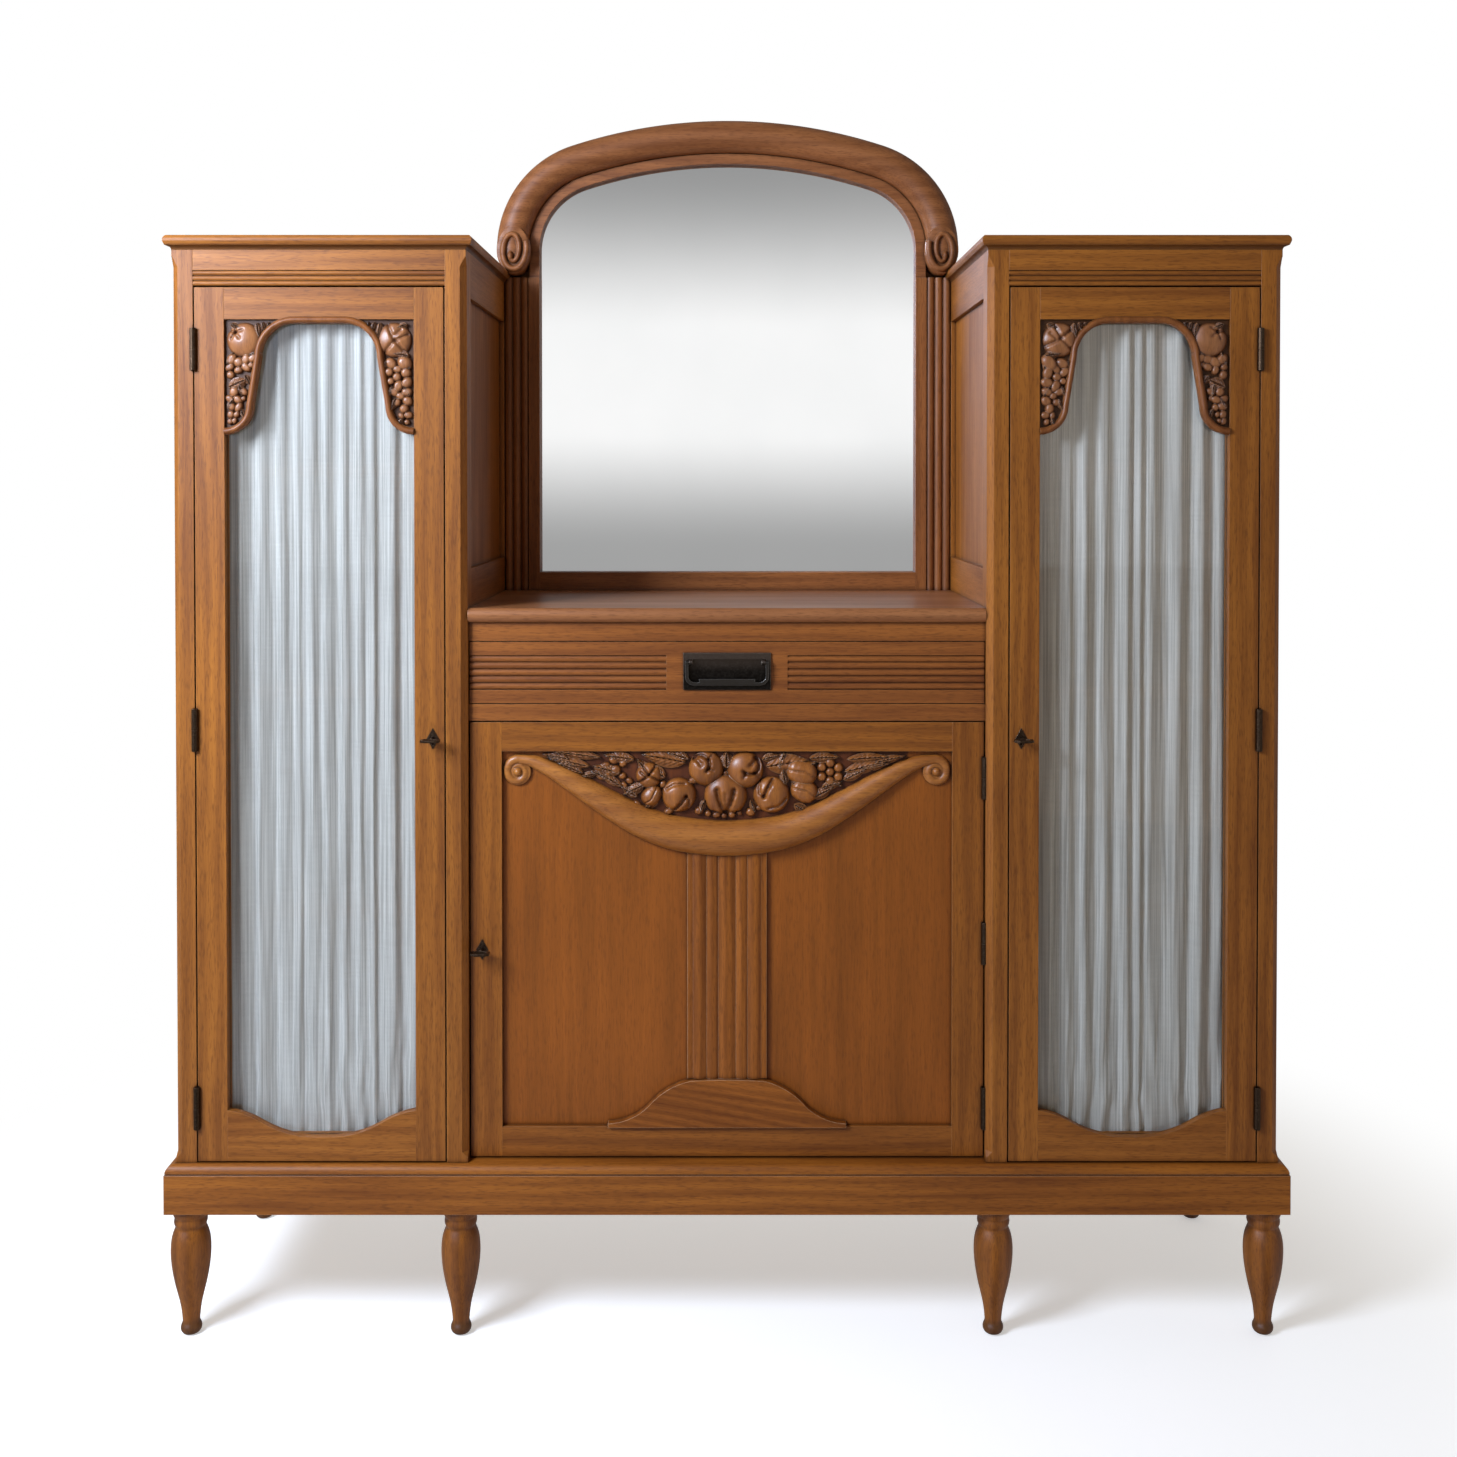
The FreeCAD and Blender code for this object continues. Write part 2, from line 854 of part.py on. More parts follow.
def plate_blank(x, face, level):
    """The keyhole plate, an upright lozenge with clipped ends."""
    half = plate_width / 2
    rise = plate_height / 2
    steps = [
        (x + half, level),
        (x + half / 2, level + rise / 2),
        (x, level + rise),
        (x - half / 2, level + rise / 2),
        (x - half, level),
        (x - half / 2, level - rise / 2),
        (x, level - rise),
        (x + half / 2, level - rise / 2),
        (x + half, level),
    ]
    return slab(steps[0], steps[1:], on_front, Y_WAY, face - plate_thickness, face)


def keyhole(x, level, radius, front, back):
    """A keyhole: a round hole for the shaft with a slot below it for the bit."""
    round_part = rod(vector(x, front, level), Y_WAY, radius, back - front)
    slot = block((x - keyhole_slot / 2, front, level - key_bit_reach - keyhole_gap),
                 (x + keyhole_slot / 2, back, level))
    return round_part.fuse(slot)


def key_shape(x, face, level, shaft_end, way):
    """A key in its lock, turned so that its bow and bit lie level."""
    bow_back = face - plate_thickness - key_stand_off
    bow_middle = bow_back - key_bow_depth / 2
    shaft = rod(vector(x, bow_back - key_bow_rim / 2, level), Y_WAY, key_shaft_radius,
                shaft_end - bow_back + key_bow_rim / 2)
    outer = key_bow_outline(x, bow_middle, 0)
    inner = key_bow_outline(x, bow_middle, key_bow_rim)
    bow_face = Part.Face(outer).cut(Part.Face(inner))
    bow_face.translate(vector(0, 0, level - key_bow_thickness / 2))
    bow = bow_face.extrude(vector(0, 0, key_bow_thickness))
    bit_ends = (x + way * key_shaft_radius / 2, x + way * key_bit_reach)
    bit = block((min(bit_ends), shaft_end - key_bit_length, level - key_bit_thickness / 2),
                (max(bit_ends), shaft_end, level + key_bit_thickness / 2))
    return shaft.fuse([bow, bit]).removeSplitter()


def key_bow_outline(x, y, inset):
    """Outline of the bow seen from above, an oval with clipped corners."""
    half = key_bow_width / 2 - inset
    deep = key_bow_depth / 2 - inset
    flat = half * key_bow_flat_share
    side = deep * key_bow_flat_share
    steps = [
        (x + flat, y - deep),
        (x + half, y - side),
        (x + half, y + side),
        (x + flat, y + deep),
        (x - flat, y + deep),
        (x - half, y + side),
        (x - half, y - side),
    ]
    return closed_wire((x - flat, y - deep), steps, on_plan)


def tower_lock():
    """Lock of the right-hand tower door, on its inner stile."""
    return lock_pieces(post_inner + joint_gap, 1, 0, plinth_top + tower_lock_rise)


def centre_lock():
    """Lock of the centre door, on its left-hand stile."""
    return lock_pieces(-centre_door_half, 1, centre_setback, plinth_top + centre_lock_rise)


def tower_posts(panels, back_panel, hinge_room, lock, centre_cuts):
    """Four posts of the right-hand tower, with grooves, chamfers and hinge seats."""
    outer = block((post_outer, 0, plinth_top), (outer_face, post_depth, tower_top))
    outer = outer.cut(chamfer_cut(outer_face, 0, -1))
    inner = block((inner_face, 0, plinth_top), (post_inner, post_depth, tower_top))
    inner = inner.cut(chamfer_cut(inner_face, 0, 1))
    rears = []
    for low, high in ((inner_face, post_inner), (post_outer, outer_face)):
        rear = block((low, rear_post_front, plinth_top), (high, tower_depth, tower_top))
        rears.append(rear.cut(panels + [back_panel]))
    outer = outer.cut(panels + hinge_room)
    inner = inner.cut(panels + [lock["mortise"]] + centre_cuts)
    return [outer, inner] + rears


def tower_back():
    """Back panel of the right-hand tower, let into its rear posts."""
    return block((post_inner - back_rebate, back_front, plinth_top),
                 (post_outer + back_rebate, tower_depth, tower_top))


def tower_top_rail():
    """The rail over a tower door, with reeds along its lower edge."""
    reeds_top = top_rail_under + rail_reed_pitch * rail_reed_count
    steps = [(rail_reed_depth, top_rail_under)]
    steps += reed_steps(top_rail_under, rail_reed_pitch, rail_reed_count, rail_reed_depth, 0)
    steps += [(0, reeds_top), (0, tower_top), (top_rail_thickness, tower_top)]
    return slab((top_rail_thickness, top_rail_under), steps, on_side, X_WAY, post_inner,
                post_outer)


def cornice_profile():
    """Edge moulding of a cornice: fillet, cove and rounded nose."""
    nose_level = cornice_height * cornice_nose_share
    cove_reach = cornice_overhang - cornice_fillet
    hollow = 1 - math.sqrt(0.5)
    top_out = cornice_overhang - cornice_top_setback
    return [
        (
            (cove_reach * hollow, cornice_cove_height * (1 - hollow)),
            (cove_reach, cornice_cove_height),
        ),
        (cornice_overhang, nose_level),
        (
            (
                cornice_overhang - cornice_top_setback * hollow,
                nose_level + (cornice_height - nose_level) * (1 - hollow),
            ),
            (top_out, cornice_height),
        ),
    ]


def cornice():
    """The moulded board on top of the right-hand tower."""
    return moulded_board((inner_face, 0), (outer_face, tower_depth, tower_top),
                         cornice_profile(), cornice_height)


def tower_floor():
    """The bottom board of the right-hand tower, notched round its posts."""
    front = door_thickness + running_gap
    whole = block((inner_face + side_rail_thickness, front, plinth_top),
                  (outer_face - side_rail_thickness, back_front, floor_top))
    notches = []
    for low, high in ((inner_face, post_inner), (post_outer, outer_face)):
        notches.append(block((low, 0, plinth_top), (high, post_depth, floor_top)))
        notches.append(block((low, rear_post_front, plinth_top), (high, tower_depth, floor_top)))
    return whole.cut(notches)


def shelf_levels():
    """Undersides of a tower's shelves, evenly spaced over the floor board."""
    room = tower_top - floor_top
    pitch = room / (shelf_count + 1)
    return [floor_top + pitch * (place + 1) for place in range(shelf_count)]


def tower_shelves():
    """Loose shelves of the right-hand tower."""
    shelves = []
    for level in shelf_levels():
        shelves.append(block(
            (post_inner + running_gap, shelf_front_setback, level),
            (post_outer - running_gap, back_front, level + shelf_thickness),
        ))
    return shelves


def shelf_cleats():
    """Cleats under the shelves of the right-hand tower, fixed to its posts."""
    cleats = []
    for level in shelf_levels():
        for low, high in ((post_inner, post_inner + cleat_width),
                          (post_outer - cleat_width, post_outer)):
            cleats.append(block((low, cleat_front, level - cleat_height),
                                (high, back_front, level)))
    return cleats


# Tower doors

def bell_points(grow):
    """The glass opening's bell outline, grown outwards, as a start and steps.

    It climbs from the left stile over the crown to the right stile. It is a foot
    arc, a straight leaning side, a shoulder arc and a near-flat crown on each side.
    """
    centre_x = tower_centre
    crown = door_top - arch_glass_drop + grow
    foot = door_top - arch_head_height
    half = glass_half
    foot_radius = arch_foot_radius - grow
    shoulder_radius = arch_shoulder_radius + grow
    foot_side = half - foot_radius
    shoulder_foot = crown - shoulder_radius
    shoulder_flat = arch_shoulder_half + grow - shoulder_radius
    slope = math.sqrt(0.5)
    foot_level = foot + grow
    left = [
        (-half, foot_level),
        (
            (-half + foot_radius * slope, foot_level + foot_radius * (1 - slope)),
            (-foot_side, foot_level + foot_radius),
        ),
        (-(arch_shoulder_half + grow), shoulder_foot),
        (
            (-shoulder_flat - shoulder_radius * slope, shoulder_foot + shoulder_radius * slope),
            (-shoulder_flat, crown),
        ),
    ]
    points = [left[0]]
    steps = list(left[1:])
    steps.append((shoulder_flat, crown))
    steps.append((
        (shoulder_flat + shoulder_radius * slope, shoulder_foot + shoulder_radius * slope),
        (arch_shoulder_half + grow, shoulder_foot),
    ))
    steps.append((foot_side, foot_level + foot_radius))
    steps.append((
        (half - foot_radius * slope, foot_level + foot_radius * (1 - slope)),
        (half, foot_level),
    ))
    moved = [shift_step(step, centre_x) for step in steps]
    return (points[0][0] + centre_x, points[0][1]), moved


def shift_step(step, across):
    """A step of an outline moved sideways."""
    if isinstance(step[0], tuple):
        return tuple((point[0] + across, point[1]) for point in step)
    return (step[0] + across, step[1])


def arch_head():
    """The door's arched head: top rail, sunk spandrels and a raised bead in one board."""
    rail_line = door_top - arch_top_rail
    low_x = tower_centre - glass_half
    high_x = tower_centre + glass_half
    head = block((low_x, 0, door_top - arch_head_height), (high_x, door_thickness, door_top))
    sunk = block((low_x, -overrun, door_top - arch_head_height),
                 (high_x, spandrel_depth, rail_line))
    spandrels = sunk.cut(bell_slab(bead_width, -overrun, spandrel_depth + overrun))
    opening = bell_slab(0, -overrun, door_thickness + overrun)
    return head.cut([opening, door_rebate(), spandrels])


def bell_slab(grow, front, back):
    """The bell outline grown outwards, with the room below it, as a solid."""
    foot = door_top - arch_head_height
    start, steps = bell_points(grow)
    close = [(tower_centre + glass_half, foot - overrun),
             (tower_centre - glass_half, foot - overrun)]
    return slab(start, steps + close, on_front, Y_WAY, front, back)


def door_rebate():
    """Room for a tower door's pane, cut into the back of its frame."""
    low = door_foot + door_foot_rail - door_foot_dip - glass_rebate
    high = door_top - arch_glass_drop + glass_rebate
    return block(
        (tower_centre - glass_half - glass_rebate, door_thickness - glass_rebate_depth, low),
        (tower_centre + glass_half + glass_rebate, door_thickness + overrun, high),
    )


def door_glass():
    """The pane, against the front of its rebate."""
    zone = door_rebate().BoundBox
    return block((zone.XMin, zone.YMin, zone.ZMin),
                 (zone.XMax, zone.YMin + glass_thickness, zone.ZMax))


def glazing_beads():
    """Four slips that hold the pane in its rebate."""
    zone = door_rebate().BoundBox
    front = zone.YMin + glass_thickness
    whole = block((zone.XMin, front, zone.ZMin), (zone.XMax, door_thickness, zone.ZMax))
    window = block((zone.XMin + glass_rebate, front - overrun, zone.ZMin + glass_rebate),
                   (zone.XMax - glass_rebate, door_thickness + overrun, zone.ZMax - glass_rebate))
    ring = whole.cut(window)
    upright_low = block((zone.XMin, front, zone.ZMin), (zone.XMin + glass_rebate,
                        door_thickness, zone.ZMax))
    upright_high = block((zone.XMax - glass_rebate, front, zone.ZMin),
                         (zone.XMax, door_thickness, zone.ZMax))
    across = ring.cut([upright_low, upright_high])
    return [upright_low, upright_high, across]


def door_foot_board():
    """The door's bottom rail, its top edge dipped at the middle."""
    high = door_foot + door_foot_rail
    half = glass_half

    def place(point, way):
        return (tower_centre + way * half * point[0], high - door_foot_dip * point[1])

    steps = [tuple(place(point, -1) for point in step) for step in dip_shares]
    here = (1.0, 0.0)
    rising = []
    for middle, end in dip_shares:
        rising.append((place(middle, 1), place(here, 1)))
        here = end
    steps += reversed(rising)
    steps += [(tower_centre + half, door_foot), (tower_centre - half, door_foot)]
    return slab(place((1.0, 0.0), -1), steps, on_front, Y_WAY, 0, door_thickness)


def door_frame(hinge_room, lock):
    """Stiles, bottom rail and glazing slips of the right-hand tower door."""
    edges = (tower_centre - door_half, tower_centre + door_half)
    inner_stile = block((edges[0], 0, door_foot), (edges[0] + door_stile, door_thickness, door_top))
    outer_stile = block((edges[1] - door_stile, 0, door_foot), (edges[1], door_thickness, door_top))
    rebate = door_rebate()
    inner_stile = inner_stile.cut([rebate, lock["zone"], lock["hole"]])
    outer_stile = outer_stile.cut([rebate] + hinge_room)
    foot = door_foot_board().cut(rebate)
    return [inner_stile, outer_stile, foot] + glazing_beads()


def spandrel_carving():
    """Fruit and berries in relief in both spandrels of the right-hand tower door."""
    clusters = []
    ground = spandrel_depth
    top = door_top - arch_top_rail - spandrel_fruit_drop
    for way in (1, -1):
        x = tower_centre - way * (glass_half - spandrel_fruit_inset)
        fruit = dome(vector(x, ground, top), fruit_diameter / 2, fruit_relief, fruit_sides)
        berries = []
        for across, down, size in spandrel_berry_shares:
            place = vector(x + way * across * fruit_diameter, ground,
                           top - down * fruit_diameter)
            berries.append(dome(place, size * fruit_diameter,
                                fruit_relief * (berry_relief_share + size), berry_sides))
        clusters.append(fruit.fuse(berries).cut(arch_head()))
    return clusters


# Curtains

def curtain_zone():
    """Where the right-hand curtain hangs: its sides, ends and middle plane."""
    low_x = tower_centre - glass_half - curtain_side_cover
    high_x = tower_centre + glass_half + curtain_side_cover
    low = door_foot + door_foot_rail - door_foot_dip - glass_rebate - curtain_end_cover
    high = door_top - arch_glass_drop + glass_rebate + curtain_end_cover
    plane = door_thickness + running_gap + curtain_fold_depth
    return low_x, high_x, low, high, plane


def curtain():
    """The gathered curtain, folded all across, with a rod pocket at each end."""
    low_x, high_x, low, high, plane = curtain_zone()
    pitch = (high_x - low_x) / curtain_fold_count
    swing = curtain_fold_depth - curtain_thickness / 2
    folds = []
    for fold in range(curtain_fold_count):
        way = -1 if fold % 2 == 0 else 1
        folds.append((low_x + (fold + 1 / 2) * pitch, plane + way * swing))
    ends = [(high_x, plane)]
    front = [(x, y - curtain_thickness / 2) for x, y in folds + ends]
    back = [(x, y + curtain_thickness / 2) for x, y in reversed([(low_x, plane)] + folds + ends)]
    sheet = slab((low_x, plane - curtain_thickness / 2), front + back, on_plan, Z_WAY,
                 low + curtain_heading / 2, high - curtain_heading / 2)
    pocket_half = rod_radius + running_gap + curtain_wall
    pockets = []
    bores = []
    for level in rod_levels():
        pockets.append(block((low_x, plane - pocket_half, level - curtain_heading / 2),
                             (high_x, plane + pocket_half, level + curtain_heading / 2)))
        bores.append(bar_room(vector(low_x - overrun, plane, level), X_WAY, rod_radius + running_gap,
                         high_x - low_x + 2 * overrun))
    return sheet.fuse(pockets).cut(bores).removeSplitter()


def rod_levels():
    """Heights of the two curtain rods."""
    zone = curtain_zone()
    return (zone[2] + curtain_heading / 2, zone[3] - curtain_heading / 2)


def curtain_rods():
    """Two rods, each in a pair of square eyes screwed to the back of the door."""
    low_x, high_x, low, high, plane = curtain_zone()
    rods = []
    for level in rod_levels():
        bar = filed_bar(vector(low_x - rod_gap, plane, level), X_WAY, rod_radius,
                        high_x - low_x + 2 * rod_gap)
        eyes = []
        for x in (low_x - rod_gap - rod_eye_width, high_x + rod_gap):
            eyes.append(block((x, door_thickness, level - rod_eye_half),
                              (x + rod_eye_width, plane + rod_eye_half, level + rod_eye_half)))
        rods.append(bar.fuse(eyes).removeSplitter())
    return rods


# Centre section

def counter():
    """The counter board between the towers, its front edge rounded."""
    front = centre_setback - counter_overhang
    steps = [
        ((front, counter_under + counter_thickness / 2),
         (front + counter_rounding, counter_top_level)),
        (tower_depth, counter_top_level),
        (tower_depth, counter_under),
    ]
    return slab((front + counter_rounding, counter_under), steps, on_side, X_WAY, -inner_face,
                inner_face)


def centre_rails():
    """The rails above and below the drawer."""
    back = centre_setback + centre_rail_thickness
    upper = block((-inner_face, centre_setback, upper_rail_under),
                  (inner_face, back, counter_under))
    middle = block((-inner_face, centre_setback, mid_rail_under),
                   (inner_face, back, mid_rail_top))
    return [upper, middle]


def centre_floor():
    """The bottom board of the centre cupboard."""
    return block((-inner_face, centre_back_face + running_gap, plinth_top),
                 (inner_face, back_front, floor_top))


def centre_shelf():
    """One shelf in the centre cupboard, with its two cleats."""
    level = floor_top + centre_shelf_rise
    shelf = block((-inner_face + running_gap, centre_shelf_setback, level),
                  (inner_face - running_gap, back_front, level + shelf_thickness))
    cleats = []
    for side in (LEFT, RIGHT):
        cleat = block((inner_face - cleat_width, centre_back_face + running_gap,
                       level - cleat_height),
                      (inner_face, back_front, level))
        cleats.append(for_side(cleat, side))
    return [shelf] + cleats


def centre_back():
    """The back panel of the centre cupboard and drawer."""
    return block((-inner_face, back_front, plinth_top), (inner_face, tower_depth, counter_under))


def drawer_runners():
    """Runners behind the middle rail, level with its top."""
    runners = []
    for side in (LEFT, RIGHT):
        runner = block((inner_face - runner_width, centre_setback + centre_rail_thickness,
                        mid_rail_top - runner_height),
                       (inner_face, back_front, mid_rail_top))
        runners.append(for_side(runner, side))
    return runners


# Drawer

def drawer_front(dish):
    """The drawer front, reeded at both sides of its pull."""
    half = inner_face - drawer_gap
    low = mid_rail_top + drawer_gap
    high = upper_rail_under - drawer_gap
    face = centre_setback
    back = face + door_thickness
    reeds_low = mid_rail_top + drawer_reed_rise
    reeds_high = reeds_low + drawer_reed_count * drawer_reed_pitch
    steps = [
        (face, reeds_low),
        (face + drawer_reed_depth, reeds_low),
    ]
    steps += reed_steps(reeds_low, drawer_reed_pitch, drawer_reed_count, drawer_reed_depth, face)
    steps += [(face, reeds_high), (face, high), (back, high), (back, low)]
    board = slab((face, low), steps, on_side, X_WAY, -half, half)
    plain = block((-drawer_reed_end, face, reeds_low), (drawer_reed_end, back, reeds_high))
    return board.fuse(plain).removeSplitter().cut(dish)


def drawer_box():
    """Sides, back and bottom of the drawer."""
    half = inner_face - drawer_gap
    front = centre_setback + door_thickness
    back = front + drawer_length
    low = mid_rail_top + running_gap
    high = low + drawer_side_height
    bottom_low = low + drawer_bottom_rise
    inner = half - drawer_side_thickness
    bottom = block((-inner - drawer_groove, front, bottom_low),
                   (inner + drawer_groove, back, bottom_low + drawer_bottom_thickness))
    sides = []
    for side in (LEFT, RIGHT):
        board = block((inner, front, low), (half, back, high))
        sides.append(for_side(board, side).cut(bottom))
    rear = block((-inner, back - drawer_side_thickness, bottom_low + drawer_bottom_thickness),
                 (inner, back, high))
    return sides + [rear, bottom]


def dish_outline(grow, place_y, depth):
    """The dish of the pull, round at its lower corners, pushed back by a depth."""
    centre = mid_rail_top + pull_rise + pull_dish_foot
    half = pull_dish_width / 2 + grow
    low = centre - grow
    high = low + pull_dish_height + 2 * grow
    radius = pull_dish_radius + grow
    slope = math.sqrt(0.5)
    steps = [
        (half - radius, low),
        (
            (half - radius + radius * slope, low + radius - radius * slope),
            (half, low + radius),
        ),
        (half, high),
        (-half, high),
        (-half, low + radius),
        (
            (-half + radius - radius * slope, low + radius - radius * slope),
            (-half + radius, low),
        ),
    ]
    return slab((-half + radius, low), steps, on_front, Y_WAY, place_y, place_y + depth)


def pull_plate():
    """The pull's plate with its pressed dish and the two lugs of the bail."""
    face = centre_setback
    low = mid_rail_top + pull_rise
    plate = block((-pull_width / 2, face - pull_plate_thickness, low),
                  (pull_width / 2, face, low + pull_height))
    shell = dish_outline(pull_dish_wall, face, pull_dish_depth)
    hollow = dish_outline(0, face - pull_plate_thickness - overrun,
                          pull_dish_depth + pull_plate_thickness + overrun - pull_dish_wall)
    level = low + pull_height - bail_lug_drop
    axis_y = bail_axis_y()
    lugs = []
    bores = []
    lug_x = bail_half_span - bail_arm_width - bail_clearance - bail_lug_width
    for side in (LEFT, RIGHT):
        barrel = filed_bar(vector(lug_x, axis_y, level), X_WAY, bail_lug_radius, bail_lug_width)
        stem = block((lug_x, axis_y, level - bail_lug_radius),
                     (lug_x + bail_lug_width, face + pull_dish_depth - pull_dish_wall,
                      level + bail_lug_radius))
        lugs.append(for_side(barrel.fuse(stem), side))
        bore = bar_room(vector(lug_x - overrun, axis_y, level), X_WAY,
                        bail_pin_radius + hinge_running_gap, bail_lug_width + 2 * overrun)
        bores.append(for_side(bore, side))
    plate = plate.fuse(shell).cut(hollow).fuse(lugs).removeSplitter()
    return plate.cut(bores), shell


def bail_axis_y():
    """How far forward the bail's pins are."""
    return centre_setback - pull_plate_thickness - bail_thickness / 2 - bail_clearance


def pull_bail():
    """The drop handle: a bent strap with a deeper grip, hung on two pins."""
    level = mid_rail_top + pull_rise + pull_height - bail_lug_drop
    axis_y = bail_axis_y()
    low = level - bail_drop
    half = bail_half_span
    outline = bail_outline(half, low, level, bail_bend)
    inner = bail_outline(half - bail_arm_width, low + bail_arm_width, level + overrun,
                         bail_bend - bail_arm_width)
    strap = outline.cut(inner)
    grip = block((-bail_grip_half, axis_y - bail_thickness / 2, low),
                 (bail_grip_half, axis_y + bail_thickness / 2, low + bail_grip_height))
    ends = []
    for side in (LEFT, RIGHT):
        eye = filed_bar(vector(half - bail_arm_width, axis_y, level), X_WAY, bail_thickness / 2,
                        bail_arm_width)
        pin_start = half - bail_arm_width - bail_clearance - bail_lug_width
        pin = filed_bar(vector(pin_start, axis_y, level), X_WAY, bail_pin_radius,
                        half - bail_arm_width / 2 - pin_start)
        ends.append(for_side(eye.fuse(pin), side))
    return strap.fuse([grip] + ends).removeSplitter()


def bail_outline(half, low, high, bend):
    """A U-shaped slab as thick as the bail, with two round lower corners."""
    axis_y = bail_axis_y()
    slope = math.sqrt(0.5)
    steps = [
        (half - bend, low),
        ((half - bend + bend * slope, low + bend - bend * slope), (half, low + bend)),
        (half, high),
        (-half, high),
        (-half, low + bend),
        ((-half + bend - bend * slope, low + bend - bend * slope), (-half + bend, low)),
    ]
    return slab((-half + bend, low), steps, on_front, Y_WAY, axis_y - bail_thickness / 2,
                axis_y + bail_thickness / 2)


# Centre door

def centre_panel():
    """The panel of the centre door, let into its frame all round."""
    front = centre_setback + centre_panel_recess
    half = centre_door_half - centre_stile + panel_tongue
    return block(
        (-half, front, door_foot + centre_foot_rail - panel_tongue),
        (half, front + centre_panel_thickness, centre_door_top - centre_top_rail + panel_tongue),
    )


def centre_frame(panel, hinge_room, lock):
    """Stiles and rails of the centre door."""
    face = centre_setback
    half = centre_door_half
    inner = half - centre_stile
    left = block((-half, face, door_foot), (-inner, centre_back_face, centre_door_top))
    right = block((inner, face, door_foot), (half, centre_back_face, centre_door_top))
    top = block((-inner, face, centre_door_top - centre_top_rail),
                (inner, centre_back_face, centre_door_top))
    foot = block((-inner, face, door_foot), (inner, centre_back_face,
                 door_foot + centre_foot_rail))
    left = left.cut([panel, lock["zone"], lock["hole"]])
    right = right.cut([panel] + hinge_room)
    return [left, right, top.cut(panel), foot.cut(panel)]


def panel_face():
    """The y of the centre panel's front."""
    return centre_setback + centre_panel_recess


def centre_pilaster():
    """The reeded pilaster under the swag, and its ogee foot."""
    ground = panel_face()
    panel_low = door_foot + centre_foot_rail
    foot_top = panel_low + pilaster_foot_height
    crest = ground - pilaster_relief
    groove = crest + pilaster_reed_depth
    widths = [pilaster_outer_reed, pilaster_inner_reed, 2 * pilaster_band_half,
              pilaster_inner_reed, pilaster_outer_reed]
    half = pilaster_band_half + pilaster_inner_reed + pilaster_outer_reed
    edge = half + pilaster_fillet
    steps = [(-edge, groove), (-half, groove)]
    here = -half
    for width in widths:
        steps.append(((here + width / 2, crest), (here + width, groove)))
        here += width
    steps += [(edge, groove), (edge, ground)]
    shaft_top = centre_door_top - centre_top_rail - pilaster_top_drop
    shaft = slab((-edge, ground), steps, on_plan, Z_WAY, foot_top, shaft_top)
    return shaft, pilaster_foot(ground, panel_low)


def pilaster_foot(ground, low):
    """The ogee foot that the pilaster stands on."""
    half = pilaster_foot_half
    step = pilaster_foot_step

    def place(point):
        return (half * point[0], low + step + (pilaster_foot_height - step) * point[1])

    steps = [(-half, low + step)]
    steps += [(place(middle), place(end)) for middle, end in foot_curve_shares]
    steps.append((half, low))
    return slab((-half, low), steps, on_front, Y_WAY, ground - pilaster_foot_relief, ground)


def swag_slab(ground):
    """The hanging cloth of the swag."""
    top = centre_door_top - centre_top_rail

    def place(point):
        return (swag_half * point[0], top - swag_crown_drop * point[1])

    steps = [(place(middle), place(end)) for middle, end in swag_curve_shares]
    arm = slab(place((0.0, swag_start_share)), steps, on_front, Y_WAY, ground - swag_relief,
               ground)
    return arm.fuse(mirrored(arm)).removeSplitter()


def centre_carving(pilaster):
    """The swag with its two eyes, and the fruit that it carries."""
    ground = panel_face()
    top = centre_door_top - centre_top_rail
    pieces = []
    for side in (LEFT, RIGHT):
        eye = vector(side * swag_half, ground, top - swag_eye_drop)
        pieces.append(dome(eye, swag_eye_radius, swag_eye_relief, fruit_sides))
        pieces.append(dome(eye, swag_ball_radius, swag_ball_relief, berry_sides))
    for across, down, size in swag_fruit_shares:
        place = vector(across * swag_fruit_radius, ground, top - down * swag_fruit_radius)
        pieces.append(dome(place, size * swag_fruit_radius, swag_fruit_relief * size,
                           fruit_sides))
    whole = swag_slab(ground).fuse(pieces)
    return whole.cut(pilaster).removeSplitter()


# Mirror section

def mirror_curve(grow):
    """The mirror's arch grown outwards: its arcs' centres, radii and meeting points."""
    haunch = mirror_haunch_radius + grow
    crown = mirror_crown_radius + grow
    haunch_x = mirror_half - mirror_haunch_radius
    between = mirror_crown_radius - mirror_haunch_radius
    crown_drop = math.sqrt(between ** 2 - haunch_x ** 2)
    crown_z = mirror_spring - crown_drop
    rise = math.atan2(crown_drop, haunch_x)
    return {
        "half": mirror_half + grow,
        "rise": math.degrees(rise),
        "haunch_centre": vector(haunch_x, 0, mirror_spring),
        "haunch_radius": haunch,
        "crown_centre": vector(0, 0, crown_z),
        "crown_radius": crown,
        "meet": (crown * math.cos(rise), crown_z + crown * math.sin(rise)),
        "haunch_mid": (haunch_x + haunch * math.cos(rise / 2),
                       mirror_spring + haunch * math.sin(rise / 2)),
        "crown": (0, crown_z + crown),
    }


def arch_steps(grow, foot):
    """Outline of the arch from its left foot over the crown to its right foot."""
    curve = mirror_curve(grow)
    meet = curve["meet"]
    middle = curve["haunch_mid"]
    start = (-curve["half"], foot)
    steps = [
        (-curve["half"], mirror_spring),
        ((-middle[0], middle[1]), (-meet[0], meet[1])),
        (curve["crown"], meet),
        (middle, (curve["half"], mirror_spring)),
        (curve["half"], foot),
    ]
    if foot == mirror_spring:
        steps = steps[1:-1]
    return start, steps


def arch_slab(grow, foot, front, back):
    """A board with the arch's outline, from its foot up."""
    start, steps = arch_steps(grow, foot)
    return slab(start, steps, on_front, Y_WAY, front, back)


